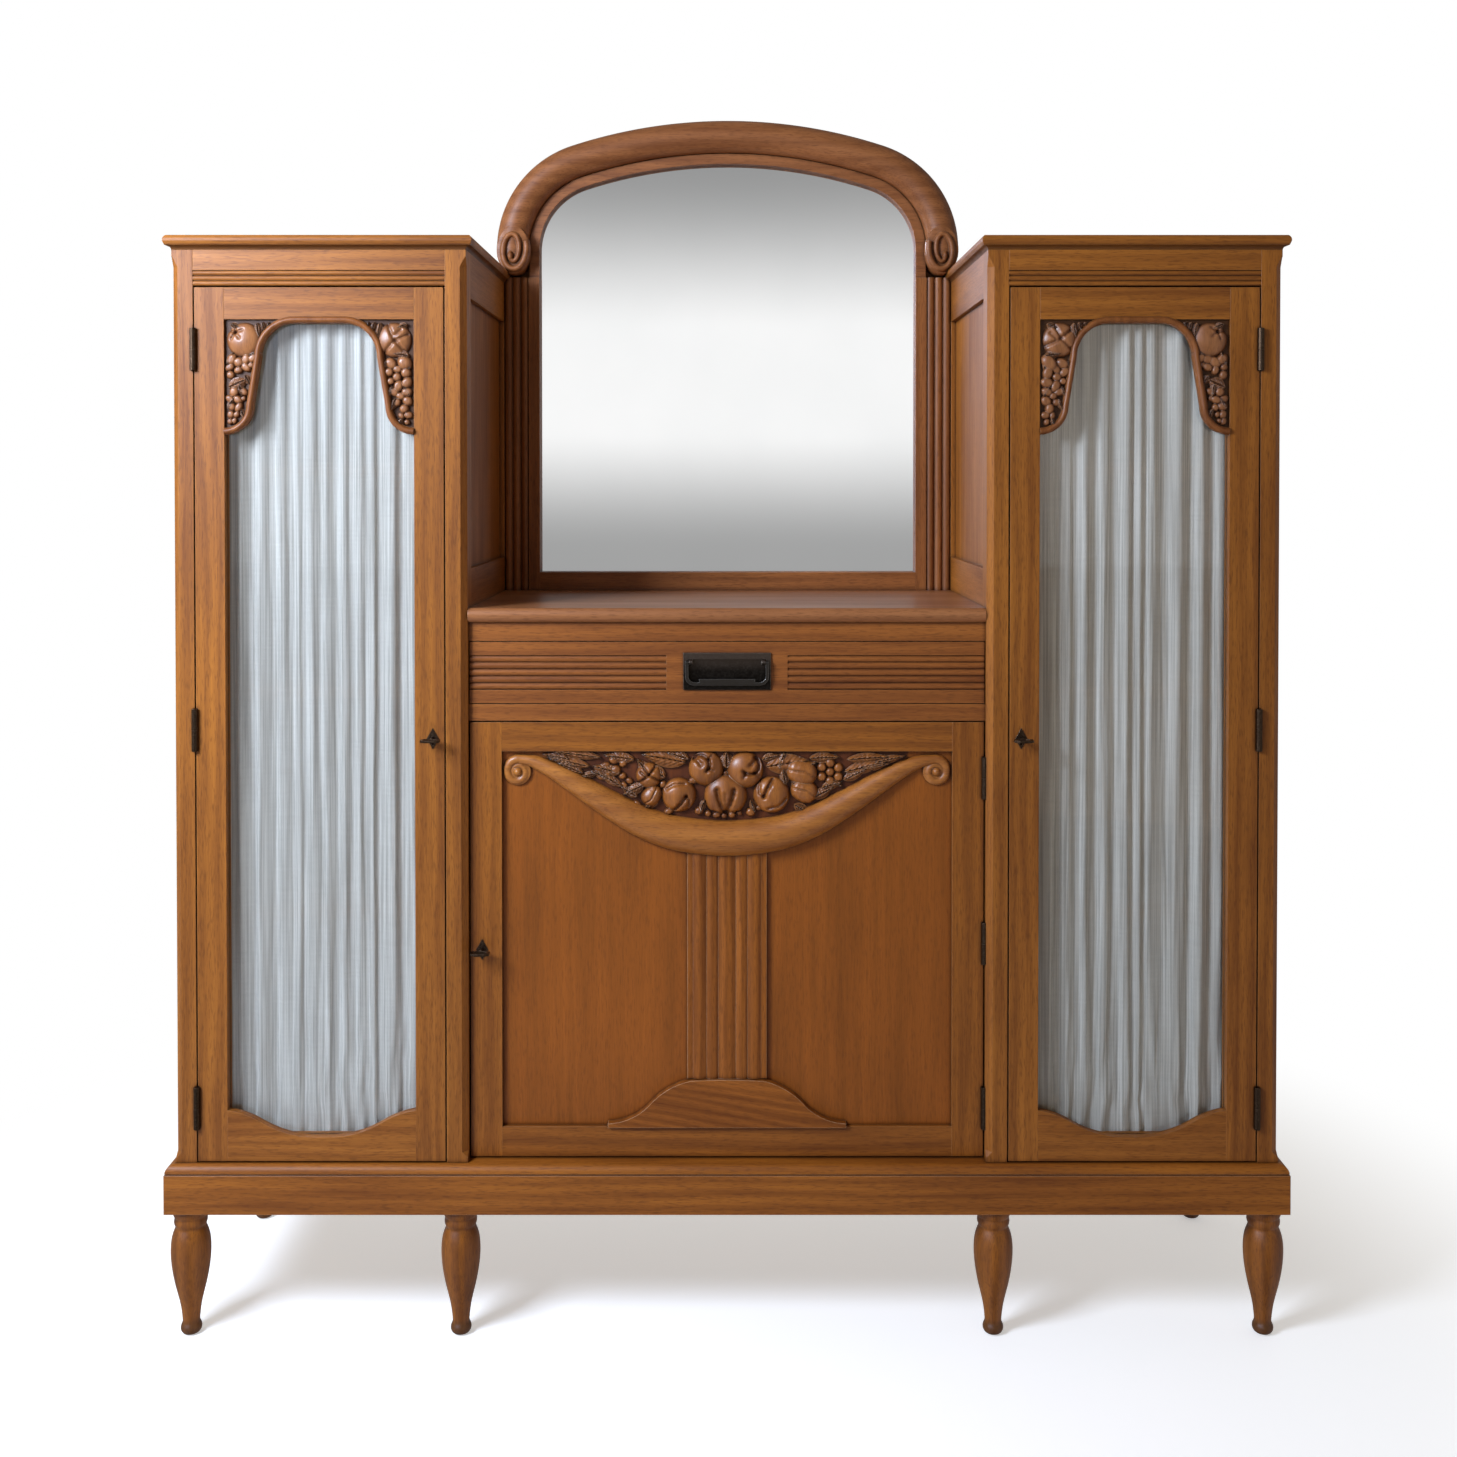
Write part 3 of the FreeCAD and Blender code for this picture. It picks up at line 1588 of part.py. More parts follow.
def mirror_board(cornices):
    """The board behind the mirror, arched at its top."""
    moulding_edge = arch_strip_width + arch_moulding_width - arch_board_setback
    arch = arch_slab(moulding_edge, tower_top, mirror_back, tower_depth)
    lower = block((-inner_face, mirror_back, counter_top_level),
                  (inner_face, tower_depth, tower_top))
    return lower.fuse(arch).removeSplitter().cut(cornices)


def mirror_glass():
    """The looking glass, held by the frame's rebate."""
    low = counter_top_level + mirror_foot_rail - mirror_rebate
    return arch_slab(mirror_rebate, low, mirror_back - mirror_thickness, mirror_back)


def mirror_frame(glass):
    """Bottom rail and two pilasters, reeded beside the towers."""
    pilaster_top = tower_top + pilaster_rise
    reed_width = (inner_face - mirror_half - pilaster_flat) / niche_reed_count
    flat_end = mirror_half + pilaster_flat
    groove = mirror_setback + niche_reed_depth
    steps = [(mirror_half, mirror_setback), (flat_end, mirror_setback), (flat_end, groove)]
    for reed in range(niche_reed_count):
        foot = flat_end + reed * reed_width
        steps.append(((foot + reed_width / 2, mirror_setback), (foot + reed_width, groove)))
    steps += [(inner_face, mirror_back)]
    pilaster = slab((mirror_half, mirror_back), steps, on_plan, Z_WAY, counter_top_level,
                    pilaster_top)
    pilaster = pilaster.cut(glass)
    rail = block((-mirror_half, mirror_setback, counter_top_level),
                 (mirror_half, mirror_back, counter_top_level + mirror_foot_rail))
    return [mirrored(pilaster), pilaster, rail.cut(glass)]


def arch_strip(glass):
    """The flat strip round the arch of the mirror."""
    foot = tower_top + pilaster_rise
    front = mirror_back - arch_strip_thickness
    outer = arch_slab(arch_strip_width, foot, front, mirror_back)
    inner = arch_slab(0, foot - overrun, front - overrun, mirror_back + overrun)
    return outer.cut(inner).cut(glass)


def arch_roll(front):
    """The arch moulding's half-round roll on its base, turned in three arcs."""
    curve = mirror_curve(arch_strip_width + arch_moulding_width / 2)
    full = 2 * (RIGHT_ANGLE - curve["rise"])
    haunch = roll_arc(curve["haunch_centre"], curve["haunch_radius"], 0, curve["rise"], front)
    crown = roll_arc(curve["crown_centre"], curve["crown_radius"], curve["rise"], full, front)
    return crown.fuse([haunch, mirrored(haunch)]).removeSplitter()


def roll_arc(centre, radius, start, sweep, front):
    """One arc of the roll, turned about its centre from a start angle over the floor."""
    half_width = arch_moulding_width / 2
    corners = [vector(centre.x + radius - half_width, mirror_back, centre.z)]
    for step in range(roll_flats + 1):
        turn = math.pi * step / roll_flats
        corners.append(vector(centre.x + radius - half_width * math.cos(turn),
                              front - arch_moulding_relief * math.sin(turn), centre.z))
    corners.append(vector(centre.x + radius + half_width, mirror_back, centre.z))
    section = flat_face(corners)
    section.rotate(centre, -Y_WAY, start)
    return section.revolve(centre, -Y_WAY, sweep)


def arch_moulding(cornices, posts_zone):
    """The half-round arch moulding, ending in a scroll on each cornice."""
    front = mirror_back - arch_moulding_base
    scrolls = []
    for side in (LEFT, RIGHT):
        scrolls.append(for_side(scroll(front), side))
    moulding = arch_roll(front).fuse(scrolls).removeSplitter()
    return moulding.cut(cornices + [posts_zone])


def scroll(base_front):
    """The right-hand scroll: an upright oval block with a spiral groove."""
    centre_x = mirror_half + arch_strip_width + arch_moulding_width - scroll_centre_inset
    centre_z = cornice_top + scroll_rise
    front = base_front - arch_moulding_relief - scroll_relief
    rise = scroll_half_height - scroll_end_radius
    side_radius = ((scroll_half_width ** 2 + rise ** 2 - scroll_end_radius ** 2)
                   / (2 * (scroll_half_width - scroll_end_radius)))
    share = scroll_end_radius / (side_radius - scroll_end_radius)
    turn_x = (side_radius - scroll_half_width) * share
    turn_z = rise + rise * share
    steps = [
        ((scroll_half_width, 0), (turn_x, -turn_z)),
        ((0, -scroll_half_height), (-turn_x, -turn_z)),
        ((-scroll_half_width, 0), (-turn_x, turn_z)),
        ((0, scroll_half_height), (turn_x, turn_z)),
    ]
    oval = slab((turn_x, turn_z), steps, on_front, Y_WAY, front, mirror_back)
    oval = oval.cut(spiral_groove(front))
    oval.translate(vector(centre_x, 0, centre_z))
    return oval


def spiral_groove(front):
    """A groove of half rings that wind in towards the scroll's eye."""
    half = scroll_groove_width / 2
    rings = []
    side = 1
    for first_share, end_share in zip(scroll_turn_shares[:-1], scroll_turn_shares[1:]):
        first = side * scroll_half_height * first_share
        end = -side * scroll_half_height * end_share
        middle = (first + end) / 2
        radius = abs(first - end) / 2
        wide = radius + half
        thin = radius - half
        steps = [
            ((side * wide, middle), (0, middle - side * wide)),
            (0, middle - side * thin),
            ((side * thin, middle), (0, middle + side * thin)),
        ]
        rings.append(slab((0, middle + side * wide), steps, on_front, Y_WAY, front - overrun,
                          front + scroll_groove_depth))
        side = -side
    return rings


def build_tower(side):
    """All fixed nodes of one tower."""
    name = "left" if side == LEFT else "right"
    panels = side_panels(outer_face, -1) + side_panels(inner_face, 1)
    back_panel = tower_back()
    fixed, moving, room = tower_hinges()
    lock = tower_lock()
    if side == RIGHT:
        centre_cuts = centre_hinges()[2]
    else:
        centre_cuts = [mirrored(centre_lock()["mortise"])]
    posts = tower_posts(panels, back_panel, room, lock, centre_cuts)
    save(name + "_tower_posts", [for_side(post, side) for post in posts])
    save(name + "_top_rail", [for_side(tower_top_rail(), side)])
    save(name + "_cornice", [for_side(cornice(), side)])
    save(name + "_tower_floor", [for_side(tower_floor(), side)])
    save(name + "_tower_back", [for_side(back_panel, side)])
    save(name + "_shelves", [for_side(shelf, side) for shelf in tower_shelves()])
    build_tower_door(side, name, moving, room, lock)
    return [for_side(shape, side) for shape in fixed]


def build_tower_door(side, name, leaves, room, lock):
    """All nodes that ride on one tower door."""
    save(name + "_door_frame", [for_side(shape, side) for shape in door_frame(room, lock)])
    save(name + "_door_arch", [for_side(arch_head(), side)])
    save(name + "_door_carving", [for_side(shape, side) for shape in spandrel_carving()])
    save(name + "_door_glass", [for_side(door_glass(), side)])
    save(name + "_curtain", [for_side(curtain(), side)])
    save(name + "_curtain_rods", [for_side(shape, side) for shape in curtain_rods()])
    iron = leaves + [lock["case"], lock["plate"]]
    save(name + "_door_hinges_and_lock", [for_side(shape, side) for shape in iron])
    save(name + "_key", [for_side(lock["key"], side)])
    save(name + "_lock_bolt", [for_side(lock["bolt"], side)])


def build_sides():
    """Rails, panels and cleats, which are alike in both towers."""
    panels = side_panels(outer_face, -1) + side_panels(inner_face, 1)
    rails = side_rails(outer_face, -1, panels) + side_rails(inner_face, 1, panels)
    cleats = shelf_cleats()
    save("tower_side_panels", [for_side(piece, side) for side in (LEFT, RIGHT)
                               for piece in panels])
    save("tower_side_rails", [for_side(piece, side) for side in (LEFT, RIGHT)
                              for piece in rails])
    save("shelf_cleats", [for_side(piece, side) for side in (LEFT, RIGHT) for piece in cleats])


def build_base():
    """Legs and plinth."""
    fronts, rears = leg_places()
    save("front_legs", [leg(x, y) for x, y in fronts])
    save("rear_legs", [leg(x, y) for x, y in rears])
    front, rest = plinth_pieces()
    save("plinth_front", [front])
    save("plinth_returns", rest)


def build_centre():
    """The fixed pieces between the towers, below and at the counter."""
    save("counter_top", [counter()])
    save("centre_rails", centre_rails())
    save("centre_floor", [centre_floor()])
    save("centre_shelf", centre_shelf())
    save("centre_back", [centre_back()])
    save("drawer_runners", drawer_runners())


def build_drawer():
    """The drawer and its pull."""
    plate, shell = pull_plate()
    save("drawer_front", [drawer_front(shell)])
    save("drawer_box", drawer_box())
    save("pull_plate", [plate])
    save("pull_bail", [pull_bail()])


def build_centre_door():
    """The centre door, its carving and its lock. Returns the fixed hinge solids."""
    fixed, leaves, room = centre_hinges()
    lock = centre_lock()
    panel = centre_panel()
    shaft, foot = centre_pilaster()
    carving = centre_carving([shaft, foot])
    save("centre_door_frame", centre_frame(panel, room, lock))
    save("centre_door_panel", [panel])
    save("centre_door_carving", [carving])
    save("centre_door_pilaster", [shaft, foot])
    save("centre_door_hinges_and_lock", leaves + [lock["case"], lock["plate"]])
    save("centre_key", [lock["key"]])
    save("centre_lock_bolt", [lock["bolt"]])
    return fixed


def build_mirror():
    """The mirror, its frame and the arch over it."""
    cornices = [for_side(cornice(), side) for side in (LEFT, RIGHT)]
    glass = mirror_glass()
    posts_zone = block((inner_face, 0, plinth_top), (outer_face, tower_depth, tower_top))
    both_zones = posts_zone.fuse(mirrored(posts_zone))
    save("mirror_board", [mirror_board(cornices)])
    save("mirror_glass", [glass])
    frame = [piece.cut(cornices) for piece in mirror_frame(glass)]
    save("mirror_frame", frame)
    strip = arch_strip(glass)
    save("arch_strip", [strip])
    moulding = arch_moulding(cornices + frame + [strip], both_zones)
    save("arch_moulding", [moulding])


def main():
    """Build every node."""
    os.makedirs("parts", exist_ok=True)
    build_base()
    build_sides()
    hinges = []
    for side in (LEFT, RIGHT):
        hinges += build_tower(side)
    build_centre()
    build_drawer()
    hinges += build_centre_door()
    save("post_hinges", hinges)
    build_mirror()


main()
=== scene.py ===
"""Oak sideboard: two glazed towers with gathered curtains, an arched mirror and a carved door."""

import logging
import math
import random
from dataclasses import dataclass, field
from enum import Enum
from functools import partial
from typing import Callable, Sequence, Union

import bpy
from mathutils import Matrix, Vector


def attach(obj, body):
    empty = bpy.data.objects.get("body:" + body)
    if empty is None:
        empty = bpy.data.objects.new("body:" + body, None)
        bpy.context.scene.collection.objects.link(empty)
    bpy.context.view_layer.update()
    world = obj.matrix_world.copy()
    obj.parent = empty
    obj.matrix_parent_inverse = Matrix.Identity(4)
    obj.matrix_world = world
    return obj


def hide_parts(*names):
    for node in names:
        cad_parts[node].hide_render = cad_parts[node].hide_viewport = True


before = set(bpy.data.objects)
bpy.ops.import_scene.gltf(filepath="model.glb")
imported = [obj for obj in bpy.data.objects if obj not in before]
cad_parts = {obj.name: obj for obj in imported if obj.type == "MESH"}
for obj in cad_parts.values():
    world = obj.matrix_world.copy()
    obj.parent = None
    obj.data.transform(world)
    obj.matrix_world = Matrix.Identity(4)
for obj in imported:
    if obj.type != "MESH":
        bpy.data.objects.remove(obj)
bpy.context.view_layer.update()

MM = 0.001
log = logging.getLogger("sideboard")

Point = tuple[float, float]
Place = tuple[float, float, float]
Test = Callable[[Vector], bool]
Feed = Union[bpy.types.Node, bpy.types.NodeSocket]
Adder = Callable[..., bpy.types.Node]


class Grain(Enum):
    """The way the wood's fibres run."""

    UPRIGHT = "z"
    LEVEL = "x"
    DEEP = "y"


class Side(Enum):
    """The left or the right tower, with the sign of its x."""

    LEFT = -1
    RIGHT = 1

    @property
    def word(self) -> str:
        """The side's word in the names of pieces."""
        return self.name.lower()


# Handling of meshes, in the frame's own axes


def mm(*values: float) -> tuple[float, ...]:
    """Millimetres as metres."""
    return tuple(value * MM for value in values)


def lay_aside_tools() -> None:
    """Leaves edit mode, if it is on."""
    if bpy.context.mode != "OBJECT":
        bpy.ops.object.mode_set(mode="OBJECT")


def put_down() -> None:
    """Leaves edit mode and deselects every object."""
    lay_aside_tools()
    bpy.ops.object.select_all(action="DESELECT")


def pick_up(pieces: Sequence[bpy.types.Object]) -> None:
    """Selects these objects alone and makes the first one active.

    Args:
        pieces: The objects to select.
    """
    put_down()
    for piece in pieces:
        piece.select_set(True)
    bpy.context.view_layer.objects.active = pieces[0]


def started(name: str) -> bpy.types.Object:
    """Names the primitive that was just added and gives it back.

    Args:
        name: The name of the object and its mesh or curve.

    Returns:
        The object.
    """
    piece = bpy.context.object
    piece.name = name
    piece.data.name = name
    return piece


def choose_points(piece: bpy.types.Object, test: Test) -> None:
    """Selects a mesh's points by their place and goes to edit mode.

    Args:
        piece: The mesh object, whose transforms may still be live.
        test: Says of a point in the mesh's own coordinates whether it is chosen.
    """
    lay_aside_tools()
    mesh = piece.data
    for part in (mesh.polygons, mesh.edges):
        part.foreach_set("select", [False] * len(part))
    for point in mesh.vertices:
        point.select = test(point.co)
    bpy.ops.object.mode_set(mode="EDIT")
    bpy.ops.mesh.select_mode(type="VERT")


def press(piece: bpy.types.Object, test: Test, move: Place) -> None:
    """Moves the points that pass the test.

    Args:
        piece: The mesh object.
        test: Says of a point whether it moves.
        move: How far it moves, in the frame's metres.
    """
    choose_points(piece, test)
    bpy.ops.transform.translate(value=move)
    bpy.ops.object.mode_set(mode="OBJECT")


def hold_within(piece: bpy.types.Object, back: float, top: float) -> None:
    """Flattens a carving where it would come out behind its board or above its field.

    Args:
        piece: The carving.
        back: The depth, in millimetres, that it ends at inside the board.
        top: The level, in millimetres, that it stays under.
    """
    choose_points(piece, lambda at: at.z > top * MM)
    bpy.ops.transform.resize(value=(1, 1, 0), center_override=(0, 0, top * MM))
    choose_points(piece, lambda at: at.y > back * MM)
    bpy.ops.transform.resize(value=(1, 0, 1), center_override=(0, back * MM, 0))
    bpy.ops.object.mode_set(mode="OBJECT")


def close_up(piece: bpy.types.Object, merge: float = 0.00001) -> None:
    """Merges doubled points and turns every face outwards.

    Args:
        piece: The mesh object.
        merge: How near two points are one, in metres.
    """
    pick_up([piece])
    bpy.ops.object.mode_set(mode="EDIT")
    bpy.ops.mesh.select_all(action="SELECT")
    bpy.ops.mesh.remove_doubles(threshold=merge)
    bpy.ops.mesh.normals_make_consistent(inside=False)
    bpy.ops.object.mode_set(mode="OBJECT")


def finish_with(piece: bpy.types.Object, kind: str, **settings: object) -> None:
    """Adds a modifier with its settings and applies it.

    Args:
        piece: The object.
        kind: The modifier's type.
        **settings: The modifier's own settings.
    """
    pick_up([piece])
    modifier = piece.modifiers.new(kind.title(), kind)
    for setting, value in settings.items():
        setattr(modifier, setting, value)
    bpy.ops.object.modifier_apply(modifier=modifier.name)


def round_off(piece: bpy.types.Object, levels: int) -> None:
    """Subdivides a mesh into a smooth skin."""
    finish_with(piece, "SUBSURF", levels=levels, render_levels=levels)


def freeze(piece: bpy.types.Object) -> None:
    """Puts the object's place, turn and size into its mesh."""
    pick_up([piece])
    bpy.ops.object.transform_apply(location=True, rotation=True, scale=True)


def copy_of(piece: bpy.types.Object, name: str) -> bpy.types.Object:
    """A copy of a piece with a mesh of its own.

    Args:
        piece: The piece to copy.
        name: The copy's name.

    Returns:
        The copy.
    """
    pick_up([piece])
    bpy.ops.object.duplicate(linked=False)
    return started(name)


def stand(piece: bpy.types.Object, place: Place, size: Place = (1, 1, 1), turn: Place = (0, 0, 0)) -> None:
    """Places a piece by its own centre, turned in degrees and sized, and freezes it.

    Args:
        piece: The piece, modelled about the origin.
        place: Its new centre in metres.
        size: Its growth along each axis.
        turn: Its turns about x, y and z in degrees.
    """
    piece.scale = size
    piece.rotation_euler = [math.radians(angle) for angle in turn]
    piece.location = place
    freeze(piece)


def joined(pieces: Sequence[bpy.types.Object], name: str) -> bpy.types.Object:
    """Several meshes as one piece.

    Args:
        pieces: The meshes, of which the first takes the others in.
        name: The whole piece's name.

    Returns:
        The whole piece.
    """
    pick_up(pieces)
    bpy.ops.object.join()
    return started(name)


def smooth(piece: bpy.types.Object, angle: float = 40) -> None:
    """Smooth shading with its sharp edges kept."""
    pick_up([piece])
    bpy.ops.object.shade_smooth_by_angle(angle=math.radians(angle))


def arc(centre: Point, radii: Point, start: float, end: float, count: int) -> list[Point]:
    """Points of an oval arc on the front, in millimetres.

    Args:
        centre: The middle as x and z.
        radii: The half width and the half height.
        start: The first angle in degrees, from x towards z.
        end: The last angle in degrees.
        count: How many points it has.

    Returns:
        The points as x and z.
    """
    points = []
    for step in range(count):
        angle = math.radians(start + (end - start) * step / (count - 1))
        points.append((centre[0] + radii[0] * math.cos(angle), centre[1] + radii[1] * math.sin(angle)))
    return points


def half_round(width: float, height: float, root: float, count: int = 16) -> list[Point]:
    """A half-round moulding's section with straight sides down to its root.

    Args:
        width: The moulding's full width in millimetres.
        height: How far its crown stands out.
        root: How deep its sides go behind its face.
        count: How many points its round has.

    Returns:
        The section's points, across and outwards.
    """
    crown = arc((0, 0), (width / 2, height), 0, 180, count)
    return [(width / 2, -root), *crown, (-width / 2, -root)]


def sweep(
    name: str,
    path: Sequence[Point],
    section: Sequence[Point],
    front: float,
    sizes: Sequence[float] | None = None,
) -> bpy.types.Object:
    """A moulding swept along a line drawn on the front.

    Args:
        name: The piece's name.
        path: The line's points as x and z in millimetres.
        section: The moulding's section, across the line and out of the front.
        front: The y of the face that the section stands on.
        sizes: The section's size at each point, 1 where none is given.

    Returns:
        The moulding as a mesh.
    """
    put_down()
    bpy.ops.curve.primitive_bezier_circle_add()
    profile = started(name + "_section")
    line_of(profile, section, "POLY", True)
    profile.data.dimensions = "2D"
    put_down()
    bpy.ops.curve.primitive_bezier_curve_add()
    rail = started(name)
    line_of(rail, path, "POLY", False, sizes)
    rail.data.twist_mode = "Z_UP"
    rail.data.bevel_mode = "OBJECT"
    rail.data.bevel_object = profile
    rail.data.use_fill_caps = True
    rail.rotation_euler = (math.radians(90), 0, 0)
    rail.location = (0, front * MM, 0)
    pick_up([rail])
    bpy.ops.object.convert(target="MESH")
    piece = started(name)
    freeze(piece)
    pick_up([profile])
    bpy.ops.object.delete()
    close_up(piece)
    return piece


def line_of(
    curve: bpy.types.Object,
    points: Sequence[Point],
    kind: str,
    closed: bool,
    sizes: Sequence[float] | None = None,
) -> None:
    """Gives a curve its points, in its own plane.

    Args:
        curve: The curve object.
        points: The points in millimetres.
        kind: The spline's type.
        closed: Whether its end meets its start.
        sizes: The section's size at each point, 1 where none is given.
    """
    curve.data.splines.clear()
    line = curve.data.splines.new(kind)
    line.points.add(len(points) - 1)
    for index, (across, up) in enumerate(points):
        line.points[index].co = (across * MM, up * MM, 0, 1)
        line.points[index].radius = 1 if sizes is None else sizes[index]
    line.use_cyclic_u = closed


def turned(name: str, rings: Sequence[Point], sides: int, levels: int) -> bpy.types.Object:
    """A turned piece, stood up ring by ring from a disc.

    Args:
        name: The piece's name.
        rings: The rings' radii and levels in millimetres, from the lowest.
        sides: How many sides each ring has.
        levels: How often its skin is subdivided.

    Returns:
        The closed mesh about the z axis.
    """
    put_down()
    radius, level = rings[0]
    bpy.ops.mesh.primitive_circle_add(
        vertices=sides, radius=radius * MM, fill_type="NGON", location=(0, 0, level * MM))
    piece = started(name)
    bpy.ops.object.mode_set(mode="EDIT")
    bpy.ops.mesh.select_all(action="SELECT")
    for wide, high in rings[1:]:
        bpy.ops.mesh.extrude_region_move(TRANSFORM_OT_translate={"value": (0, 0, (high - level) * MM)})
        bpy.ops.transform.resize(value=(wide / radius, wide / radius, 1), center_override=(0, 0, high * MM))
        radius, level = wide, high
    bpy.ops.object.mode_set(mode="OBJECT")
    freeze(piece)
    close_up(piece)
    round_off(piece, levels)
    return piece


# Finishes


def linear(code: str, alpha: float = 1.0) -> tuple[float, float, float, float]:
    """A colour written as sRGB hex, turned linear.

    Args:
        code: The colour as # and six digits.
        alpha: Its cover.

    Returns:
        Red, green, blue and cover.
    """
    parts = [int(code[index:index + 2], 16) / 255 for index in (1, 3, 5)]
    bent = [part / 12.92 if part <= 0.04045 else ((part + 0.055) / 1.055) ** 2.4 for part in parts]
    return (*bent, alpha)


def add_node(
    tree: bpy.types.NodeTree,
    kind: str,
    inputs: dict[int | str, object] | None = None,
    **settings: object,
) -> bpy.types.Node:
    """Adds a node with its settings, its sockets' values and its links.

    Args:
        tree: The material's or the world's tree.
        kind: The node's type, without its first words.
        inputs: For a socket's name or number, its value or what feeds it. A node feeds
            it from its first output.
        **settings: The node's own settings.

    Returns:
        The node.
    """
    node = tree.nodes.new("ShaderNode" + kind)
    for setting, value in settings.items():
        setattr(node, setting, value)
    for socket, value in (inputs or {}).items():
        if isinstance(value, bpy.types.Node):
            value = value.outputs[0]
        if isinstance(value, bpy.types.NodeSocket):
            tree.links.new(value, node.inputs[socket])
        else:
            node.inputs[socket].default_value = value
    return node


def fresh(name: str) -> tuple[bpy.types.Material, Adder]:
    """Starts a material with an empty tree.

    Args:
        name: The finish's name.

    Returns:
        The material, and the function that adds nodes to it.
    """
    material = bpy.data.materials.new(name)
    material.use_nodes = True
    material.node_tree.nodes.clear()
    return material, partial(add_node, material.node_tree)


@dataclass(frozen=True)
class Oak:
    """Waxed and stained oak.

    Broad soft patches, long wandering streaks and small dark flecks give the eye a
    chestnut-brown wood with a satin sheen. Painted shade darkens its corners, grooves and
    recesses, and its edges are lightened, partly as wear and partly as painted highlight.
    The flecks are drawn three times as coarse as real pores, which are too fine to show.
    """

    name: str
    light: str = "#A96825"
    dark: str = "#6B380E"
    pore: str = "#4C2209"
    # Painted shade: the colour that corners, recesses and shaded bands darken towards; on the turned legs it
    # also stands for soiling at the foot.
    shade_and_grime_colour: str = "#241006"
    # Edge colour: partly real wear, partly painted highlight.
    rubbed_and_highlight: str = "#C08A5A"
    grain: Grain = Grain.UPRIGHT
    easing: float = 1.5
    rail_middle: float = 0.0
    rail_half: float = 0.0
    rail_top: float = 0.0
    lean: float = 0.0
    figure: float = 0.45
    patch: float = 0.35
    streak_width: float = 11.0
    streak_length: float = 330.0
    pore_width: float = 1.5
    pore_length: float = 14.0
    pore_depth: float = 0.40
    ring_width: float = 34.0
    wander: float = 9.0
    roughness: float = 0.46
    gloss: float = 0.27
    # Painted shade from ambient occlusion: how far it reaches in millimetres and how dark it gets.
    shade_reach: float = 7.0
    shade_depth: float = 0.85
    # How strongly edges are lightened, as wear and painted highlight.
    edge: float = 0.35
    # Painted shade deepening into a recess between two depths in y, and how dark it gets.
    sunk: Point = (0.0, 0.0)
    sunk_shade: float = 0.84
    # Painted shade in a band of levels in z, and how dark it gets; on the turned legs it also stands for
    # soiling at the foot.
    shade_and_grime_levels: Point = (0.0, 0.0)
    band_shade_and_grime: float = 0.62

    def spread(self, add: Adder, place: Feed, width: float, length: float) -> Feed:
        """Coordinates that run once over a width across and a length along the grain.

        Args:
            add: Adds a node to the material.
            place: The coordinates.
            width: The pattern's width across the grain in millimetres.
            length: Its length along the grain in millimetres.

        Returns:
            The spread coordinates.
        """
        across = 1000 / width
        return add("VectorMath", {0: place, 1: (across, across, 1000 / length)}, operation="MULTIPLY")

    def noise(self, add: Adder, place: Feed, width: float, length: float, detail: float = 2.0) -> Feed:
        """Noise whose specks have this width across and this length along the grain.

        Args:
            add: Adds a node to the material.
            place: The coordinates.
            width: The specks' width in millimetres.
            length: Their length in millimetres.
            detail: How fine their edges are.

        Returns:
            The noise, from 0 to 1.
        """
        return add(
            "TexNoise", {"Vector": self.spread(add, place, width, length), "Scale": 1.0, "Detail": detail,
            "Roughness": 0.55})

    def along(self, add: Adder) -> Feed:
        """Object coordinates with the fibres along their third axis.

        Args:
            add: Adds a node to the material.

        Returns:
            The turned coordinates.
        """
        place = add("TexCoord").outputs["Object"]
        turned_place = place
        if self.lean:
            turned_place = add("Mapping", {0: place, "Rotation": (0, math.radians(self.lean), 0)})
        x, y, z = add("SeparateXYZ", {0: turned_place}).outputs
        lying = add("CombineXYZ", {0: z, 1: y, 2: x})
        if self.grain is Grain.LEVEL:
            return lying
        if self.grain is Grain.DEEP:
            return add("CombineXYZ", {0: x, 1: z, 2: y})
        if self.rail_half:
            far = add("Math", {0: x}, operation="ABSOLUTE")
            off = add("Math", {0: far, 1: self.rail_middle * MM}, operation="SUBTRACT")
            near = add("Math", {0: off}, operation="ABSOLUTE")
            rail = add("Math", {0: near, 1: self.rail_half * MM}, operation="LESS_THAN")
        elif self.rail_top:
            level = add("SeparateXYZ", {0: place}).outputs[2]
            rail = add("Math", {0: level, 1: self.rail_top * MM}, operation="LESS_THAN")
        else:
            return place
        return add("Mix", {0: rail, 4: place, 5: lying}, data_type="VECTOR").outputs[1]

    def tone(self, add: Adder, fibres: Feed) -> Feed:
        """How light the wood is: patches, rings and streaks in one number.

        Args:
            add: Adds a node to the material.
            fibres: The coordinates along the grain.

        Returns:
            The tone, from 0 for dark to 1 for light.
        """
        drift = self.noise(add, fibres, 90, 420)
        offset = add("MapRange", {0: drift, 3: -self.wander * MM, 4: self.wander * MM})
        offset = add("CombineXYZ", {0: offset})
        bent = add("VectorMath", {0: fibres, 1: offset}, operation="ADD")
        patch = self.noise(add, bent, 75, 330, 1.0)
        streak = self.noise(add, bent, self.streak_width, self.streak_length, 4.0)
        fibre = self.noise(add, bent, 2.6, 90, 2.0)
        rings = add(
            "TexWave",
            {"Vector": self.spread(add, bent, self.ring_width, self.streak_length * 0.9), "Scale": 0.5,
             "Distortion": 9.0, "Detail": 2.5, "Detail Scale": 0.7, "Detail Roughness": 0.6},
            bands_direction="X").outputs[1]
        streak = add("MapRange", {0: streak, 1: 0.26, 2: 0.74})
        patch = add("MapRange", {0: patch, 1: 0.30, 2: 0.70})
        fibre = add("MapRange", {0: fibre, 1: 0.22, 2: 0.78})
        tone = add("Mix", {0: self.figure, 2: streak, 3: rings}, data_type="FLOAT")
        tone = add("Mix", {0: self.patch, 2: tone, 3: patch}, data_type="FLOAT")
        tone = add("Mix", {0: 0.30, 2: tone, 3: fibre}, data_type="FLOAT")
        return add("MapRange", {0: tone, 1: 0.12, 2: 0.88})

